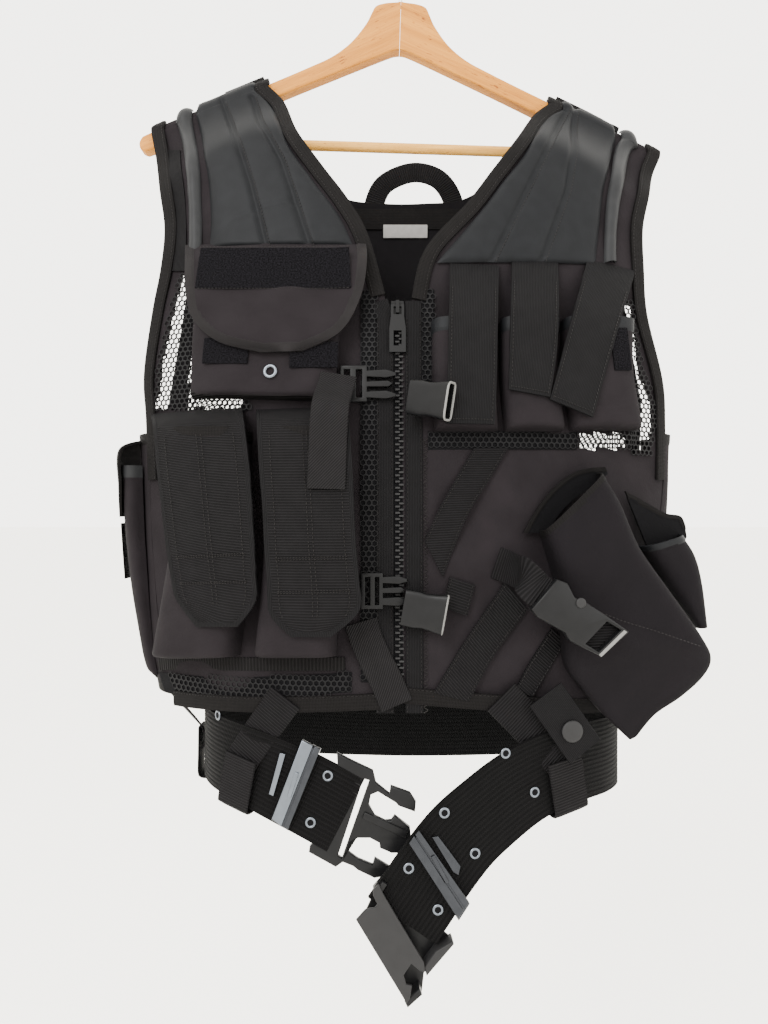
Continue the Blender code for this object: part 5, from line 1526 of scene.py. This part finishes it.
UPPER_PLUG = (
    (
        (340, 366), (367, 366), (367, 371), (386, 370), (396, 373), (396, 376), (386, 378), (367, 377),
        (367, 382), (388, 381), (393, 384), (388, 387), (367, 387), (367, 392), (386, 391), (396, 394),
        (396, 397), (386, 399), (367, 398), (367, 402), (340, 402),
    ),
    ((344, 370), (350, 370), (350, 398), (344, 398)), ((356, 370), (362, 370), (362, 398), (356, 398)),
)
LOWER_PLUG = (
    (
        (361, 573), (383, 573), (383, 577), (399, 576), (407, 579), (407, 582), (399, 584), (383, 583),
        (383, 588), (401, 587), (405, 590), (401, 593), (383, 593), (383, 598), (399, 597), (407, 600),
        (407, 603), (399, 606), (383, 605), (383, 609), (361, 609),
    ),
    ((365, 577), (370, 577), (370, 605), (365, 605)), ((375, 577), (379, 577), (379, 605), (375, 605)),
)


def build_chest():
    lift = OVERLAY + TAPE + OVERLAY + 0.0018
    for name, loops, middle in (("upper_plug", UPPER_PLUG, (366, 384)),
                                ("lower_plug", LOWER_PLUG, (383, 591))):
        point, look = cloth_place(*middle, lift)
        seen_plate(name + "_clip", "plastic", loops, point, look, 0.0036, 0.0006, (name,))
    socket("upper_socket", (0.033, 0.011, 0.028), (0.0167, -0.1123, -0.415), 36.0)
    socket("lower_socket", (0.03, 0.011, 0.029), (0.0125, -0.1134, -0.567), 8.0)
    upper = ((-0.049, -0.398, 0.0145), (-0.0505, -0.407, 0.018), (-0.052, -0.4165, 0.025),
             (-0.053, -0.426, 0.0304), (-0.054, -0.445, 0.0307), (-0.0545, -0.465, 0.0308),
             (-0.055, -0.482, 0.0309))
    lower = ((-0.033, -0.576, 0.0026), (-0.0285, -0.59, 0.0026), (-0.0215, -0.605, 0.0026),
             (-0.014, -0.62, 0.0026), (-0.007, -0.636, 0.0026))
    for name, places, width in (("upper_strap", upper, 0.027), ("lower_strap", lower, 0.024)):
        places = np.array(places)
        line = np.concatenate(front_spot(places[:, 0], places[:, 1], places[:, 2]), axis=1)
        thing = tape(name + "_web", "web_twill", line, width, 0.0014, (name,))


SOCKET_WALL = 0.0016
SOCKET_PITCH = 10


def socket(name, size, place, yaw):
    """A flat sleeve with thick walls, open at both ends, with a wider mouth, its rim a pale ring of painted
    highlight.
    """
    half_x, half_y, half_z = (value / 2 for value in size)
    turn = np.linspace(0.0, 2 * math.pi, 32, endpoint=False)
    y = np.sign(np.sin(turn)) * np.abs(np.sin(turn)) ** 0.35
    z = np.sign(np.cos(turn)) * np.abs(np.cos(turn)) ** 0.35
    rings = []
    for x, scale in ((-half_x, 0.9), (-half_x * 0.4, 0.92), (0.0, 0.86), (half_x * 0.4, 0.9), (half_x, 1.0)):
        rings.append(vectors(x, y * half_y * scale, z * half_z * scale))
    for x, scale in ((half_x, 1.0), (0.0, 0.86), (-half_x, 0.9)):
        rings.append(vectors(x, y * (half_y * scale - SOCKET_WALL), z * (half_z * scale - SOCKET_WALL)))
    pitch = Matrix.Rotation(math.radians(SOCKET_PITCH), 3, "Y")
    turned_by = np.array(Matrix.Rotation(-math.radians(yaw), 3, "Z") @ pitch)
    flat = np.array(rings)
    points = flat @ turned_by.T + np.array(place)
    faces = ring_faces(len(rings), 32, True)
    add(name + "_clip", points, faces, "plastic", flat.reshape(-1, 3), (name,))
    mouth = (points[4] + points[5]) / 2
    # The pale ring round the mouth is a painted highlight.
    tube(name + "_mouth", "plastic_rim", np.concatenate([mouth, mouth[:1]]), 0.0009, sides=6,
         step=0.001, guide=(1.0, 0.2, 0.1), closed=True)


# The belt.

BELT_END = (-0.004, -0.131, -0.779, 0.05, -1.0, 0.0)
BELT_EYELETS = (
    (503, 751), (534, 792), (447, 811), (475, 854), (408, 870), (436, 912), (222, 711), (326, 775),
    (312, 824),
)
BELT_PLUG = (
    (
        (337, 752), (350, 759), (373, 770), (376, 782), (389.5, 793), (390.5, 785), (410, 792), (416, 801),
        (415, 811), (398.5, 805), (396, 802), (378, 791), (371, 794), (369, 804), (375, 815), (385, 820),
        (391, 819.5), (394.5, 814.5), (410, 826.5), (411, 838), (403, 852), (391.5, 852), (380, 847),
        (379.5, 842), (370, 837), (358, 837), (350, 842), (347, 850), (358, 858), (372.5, 864),
        (374.5, 857), (389.5, 866), (384.5, 875), (374.5, 877), (358, 869), (353, 865), (343, 861),
        (336, 866), (309, 851), (310, 845), (318, 838), (338, 772),
    ),
    ((363.5, 778), (369.5, 779.5), (342, 857.5), (338, 855)),
)
BELT_SOCKET_FACE = (
    (373, 889), (379, 884), (383, 893), (397, 917), (424, 962), (425, 971.5), (420, 970.5), (411, 963),
    (403.5, 975), (406, 984), (412, 985), (410, 998), (406.5, 1003), (356, 919.5), (365, 909.5),
    (374.5, 907.5), (377.5, 904.5), (373, 895),
)
BELT_SOCKET_REAR = (
    (375, 890), (383, 879), (400, 893), (451, 937), (438, 956), (424, 972), (422, 990), (408, 1001),
    (360, 922),
)
BELT_SOCKET_ENDS = (
    ((373, 889), (382.5, 878), (387, 881), (379, 893)),
    ((423, 963), (435, 947), (451.5, 937), (453, 940), (426, 971.5)),
    ((404, 997), (419, 984), (421.5, 990), (407, 1003)),
)
KEEPERS = (
    (
        'keeper_left', 2, 'silver', ((302, 740), (313, 745.5), (281.5, 826), (272, 818.5)),
        ((315, 746), (320.5, 749), (288.5, 829), (283.5, 827)),
        ((295, 772), (299, 773), (291, 798), (287, 796)),
        ((280, 753), (285.5, 754), (273.5, 796), (269, 794)),
    ),
    (
        'keeper_right', 29, 'gunmetal', ((409, 843), (414, 835.5), (463.5, 910), (458, 919)),
        ((415, 834.5), (419, 830.5), (469, 902), (465, 908)),
        ((431, 857), (434.5, 855), (449, 882), (446, 884)),
        ((432, 837), (438, 836), (460.5, 866), (458.5, 875), (453, 872)),
    ),
)


def build_belt():
    rows = np.array(BELT_ROWS + (BELT_END,))
    line = curved(np.concatenate([rows[:, :3], unit(rows[:, 3:6])], axis=1), 0.004)
    along = unit(np.gradient(line[:, :3], axis=0))
    side = unit(np.cross(along, line[:, 3:6]))
    out = unit(np.cross(side, along))
    across = np.linspace(-0.5, 0.5, 61)
    rib = 0.0004 * np.abs(np.sin(across * math.pi * BELT_WIDTH / 0.0034))
    grid = (line[:, None, :3] + side[:, None, :] * (across * BELT_WIDTH)[None, :, None]
            + out[:, None, :] * (0.0022 + rib[None, :, None]))
    thing = shell("belt_web", grid, 0.0024, "belt_face", ("belt",), out[:, None, :],
                  lining="belt_inside")
    for number, (px, py) in enumerate(BELT_EYELETS, start=1):
        point, look = belt_place(grid, out, px, py)
        ring_at("belt_eyelet_%d" % number, point, look, 0.003, 0.0006, "silver")
        disc_at("belt_hole_%d" % number, point, look, 0.0026, 0.0003, "nylon_black")
    for name, row, finish, bar, strip, bead, pill in KEEPERS:
        point, look, _ = belt_frame(line, row)
        sleeve = (bar[0], strip[1], strip[2], bar[3])
        for part, part_finish, outline, lift, thickness, rounding in (
                ("_sleeve", "gunmetal", sleeve, 0.0, 0.0078, 0.0014),
                ("_bar", finish, bar, 0.0044, 0.0022, 0.0006),
                ("_strip", "gunmetal", strip, 0.0044, 0.0018, 0.0004),
                ("_bead", finish, bead, 0.0058, 0.0016, 0.0005),
                ("_pill", finish, pill, 0.0022, 0.0014, 0.0004)):
            middle = point + look * (BELT_THICKNESS / 2 + lift)
            nodes = (name,) if part == "_sleeve" else ()
            seen_plate(name + part, part_finish, (outline,), middle, look, thickness, rounding, nodes)
    build_belt_buckle()
    build_loops(line)


def belt_place(grid, out, px, py):
    """The belt's point that faces the camera nearest to a place px, py."""
    reach = (grid[..., 1] - CAMERA[1]) / FOCAL
    seen_x = MIDDLE_X + (grid[..., 0] - CAMERA[0]) / reach
    seen_y = MIDDLE_Y - (grid[..., 2] - CAMERA[2]) / reach
    miss = np.hypot(seen_x - px, seen_y - py) + 500.0 * (out[:, None, 1] > 0)
    row, column = np.unravel_index(np.argmin(miss), miss.shape)
    return grid[row, column] + out[row] * 0.0004, out[row]


def belt_frame(line, row):
    """The belt's middle at a row of its table, the way its face looks and the way across it."""
    index = int(np.argmin(np.linalg.norm(line[:, :3] - np.array(BELT_ROWS[row][:3]), axis=1)))
    along = unit(line[min(index + 1, len(line) - 1), :3] - line[max(index - 1, 0), :3])
    side = unit(np.cross(along, unit(line[index, 3:6])))
    return line[index, :3], unit(np.cross(side, along)), side


def build_belt_buckle():
    look = (-0.02, -1.0, 0.06)
    point = at_depth((352, 815, -0.1105))
    seen_plate("belt_plug_clip", "plastic", BELT_PLUG, point, look, 0.0056, 0.001, ("belt_plug",))
    seen_plate("belt_plug_rib", "plastic", (((362, 818), (365, 812), (408, 831), (405, 838)),),
               point + (0.0, -0.0034, 0.0), look, 0.0022, 0.0006)
    look = (0.05, -1.0, 0.0)
    middle = at_depth((400, 930, -0.13))
    seen_plate("belt_socket_face", "plastic_grey", (BELT_SOCKET_FACE,), middle + (0.0, -0.0062, 0.0), look,
               0.0026, 0.0008, ("belt_socket",))
    seen_plate("belt_socket_rear", "plastic", (BELT_SOCKET_REAR,), middle + (0.0, 0.0058, 0.0), look,
               0.0026, 0.0008)
    for number, loop in enumerate(BELT_SOCKET_ENDS, start=1):
        finish = "plastic_grey" if number == 2 else "plastic"
        seen_plate("belt_socket_end_%d" % number, finish, (loop,), middle, look, 0.012, 0.001)


def hem_height(x):
    left_x, left_z, right_x, right_z = (FRONT_LEFT_ROWS if x < 0 else FRONT_RIGHT_ROWS)[-1]
    return left_z + (right_z - left_z) * (x - left_x) / (right_x - left_x)


def build_loop(name, place, top, bow, width):
    """A strap from the hem to the belt, and the loop that goes round the belt."""
    point, out, side = place
    up = side if side[2] > 0 else -side
    half = BELT_WIDTH / 2
    low = half + 0.0032
    outer = point + out * (BELT_THICKNESS + 0.0012)
    front = outer + out * 0.0018
    inner = point - out * bow
    corner = out * np.linalg.norm(front - inner) * 0.2
    strap = [(outer + up * half * 0.15, out), (outer - up * half * 0.25, out)]
    loop = [(front + up * half * 0.25, out), (front - up * half * 0.4, out), (front - up * half, out),
            (front - up * low - corner, unit(out - up)), (inner - up * low + corner, unit(-out - up)),
            (inner - up * half, -out), (inner, -out), (inner + up * (half - 0.002), -out)]
    strap = np.concatenate([top, [np.concatenate(pair) for pair in strap]])
    tape(name + "_strap", "web_cross", strap, width * 0.95, 0.0016)
    loop = np.array([np.concatenate(pair) for pair in loop])
    tape(name + "_web", "web_cross", loop, width, 0.0018, (name,))


def build_loops(line):
    lift = OVERLAY + TAPE + OVERLAY
    for name, row, top_x, width, bow in (("belt_loop_left", 4, -0.096, 0.028, 0.0038),
                                         ("belt_loop_right", 24, 0.08, 0.03, 0.0034)):
        place = belt_frame(line, row)
        lean = (top_x - place[0][0]) * 0.35
        top = on_cloth(front_spot, [(top_x + lean, hem_height(top_x) + 0.011)], lift)
        build_loop(name, place, top, bow, width)
    point, look = side_spot(-1, 0.5, SIDE_ROWS[-1] + np.array((0.012, 0.002)), SIDE_OVERLAY)
    top = np.concatenate([point, look], axis=1)
    build_loop("belt_loop_side", belt_frame(line, 8), top, 0.0042, 0.024)


def build_snap_patch():
    line = []
    for px, py in ((545, 694), (554, 707), (566, 724), (577, 740), (585, 751)):
        line.append((*at_depth((px, py, -0.1105 + 0.00005 * (px - 545))), 0.15, -1.0, 0.0))
    tape("snap_patch", "web_fine", np.array(line), 0.029, 0.0016)
    disc_at("snap", at_depth((572.5, 731.5, -0.1112)), (0.15, -1.0, 0.0), 0.008, 0.0016, "plastic_grey")


def build_handle():
    rows = ((-0.0255, -0.232), (-0.025, -0.214), (-0.015, -0.196), (0.01, -0.186), (0.033, -0.192),
            (0.046, -0.211), (0.0465, -0.232))
    line = []
    for x, z in rows:
        point, _ = back_spot(np.array([x]), np.array([-0.232]), OVERLAY)
        line.append((x, point[0, 1], z, 0.0, 1.0, 0.0))
    tape("drag_handle_web", "web_cross", np.array(line), 0.018, 0.0024, ("drag_handle",))


# Light and floor.

def build_studio():
    world = bpy.data.worlds.new("studio")
    world.use_nodes = True
    sky = world.node_tree.nodes["Background"]
    sky.inputs["Color"].default_value = (0.88, 0.86, 0.81, 1.0)
    sky.inputs["Strength"].default_value = 5.4
    bpy.context.scene.world = world
    for name, place, aim, size, power in (
            ("key", (-1.2, -2.2, 1.1), (0.0, 0.0, -0.45), 1.2, 130.0),
            ("fill", (1.9, -1.8, -0.2), (0.0, 0.0, -0.45), 1.8, 30.0)):
        data = bpy.data.lights.new(name, "AREA")
        data.size = size
        data.energy = power
        light = bpy.data.objects.new(name, data)
        light.location = place
        way = Vector(aim) - Vector(place)
        light.rotation_euler = way.to_track_quat("-Z", "Y").to_euler()
        bpy.context.scene.collection.objects.link(light)
    mesh = bpy.data.meshes.new("floor")
    mesh.from_pydata([(-40, -40, -1.3), (40, -40, -1.3), (40, 40, -1.3), (-40, 40, -1.3)], [], [(0, 1, 2, 3)])
    floor = bpy.data.objects.new("floor", mesh)
    made = bpy.data.materials.new("floor")
    made.use_nodes = True
    shader = made.node_tree.nodes["Principled BSDF"]
    shader.inputs["Base Color"].default_value = (0.92, 0.91, 0.88, 1.0)
    shader.inputs["Roughness"].default_value = 0.9
    mesh.materials.append(made)
    bpy.context.scene.collection.objects.link(floor)


def build():
    build_finishes()
    sewing = Sewing()
    build_hanger()
    build_body()
    build_pads(sewing)
    build_ribs()
    build_shoulder_straps()
    build_bindings(sewing)
    build_zip(sewing)
    build_id_pouch(sewing)
    build_mag_pouches(sewing)
    build_side_pouch()
    build_small_pouches(sewing)
    build_webbing(sewing)
    build_holster(sewing)
    build_chest()
    build_belt()
    build_snap_patch()
    build_handle()
    for name in ("zip_slider", "zip_pull"):
        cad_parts[name].data.materials.clear()
        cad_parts[name].data.materials.append(bpy.data.materials["plastic"])
    sewing.finish()
    build_studio()


build()
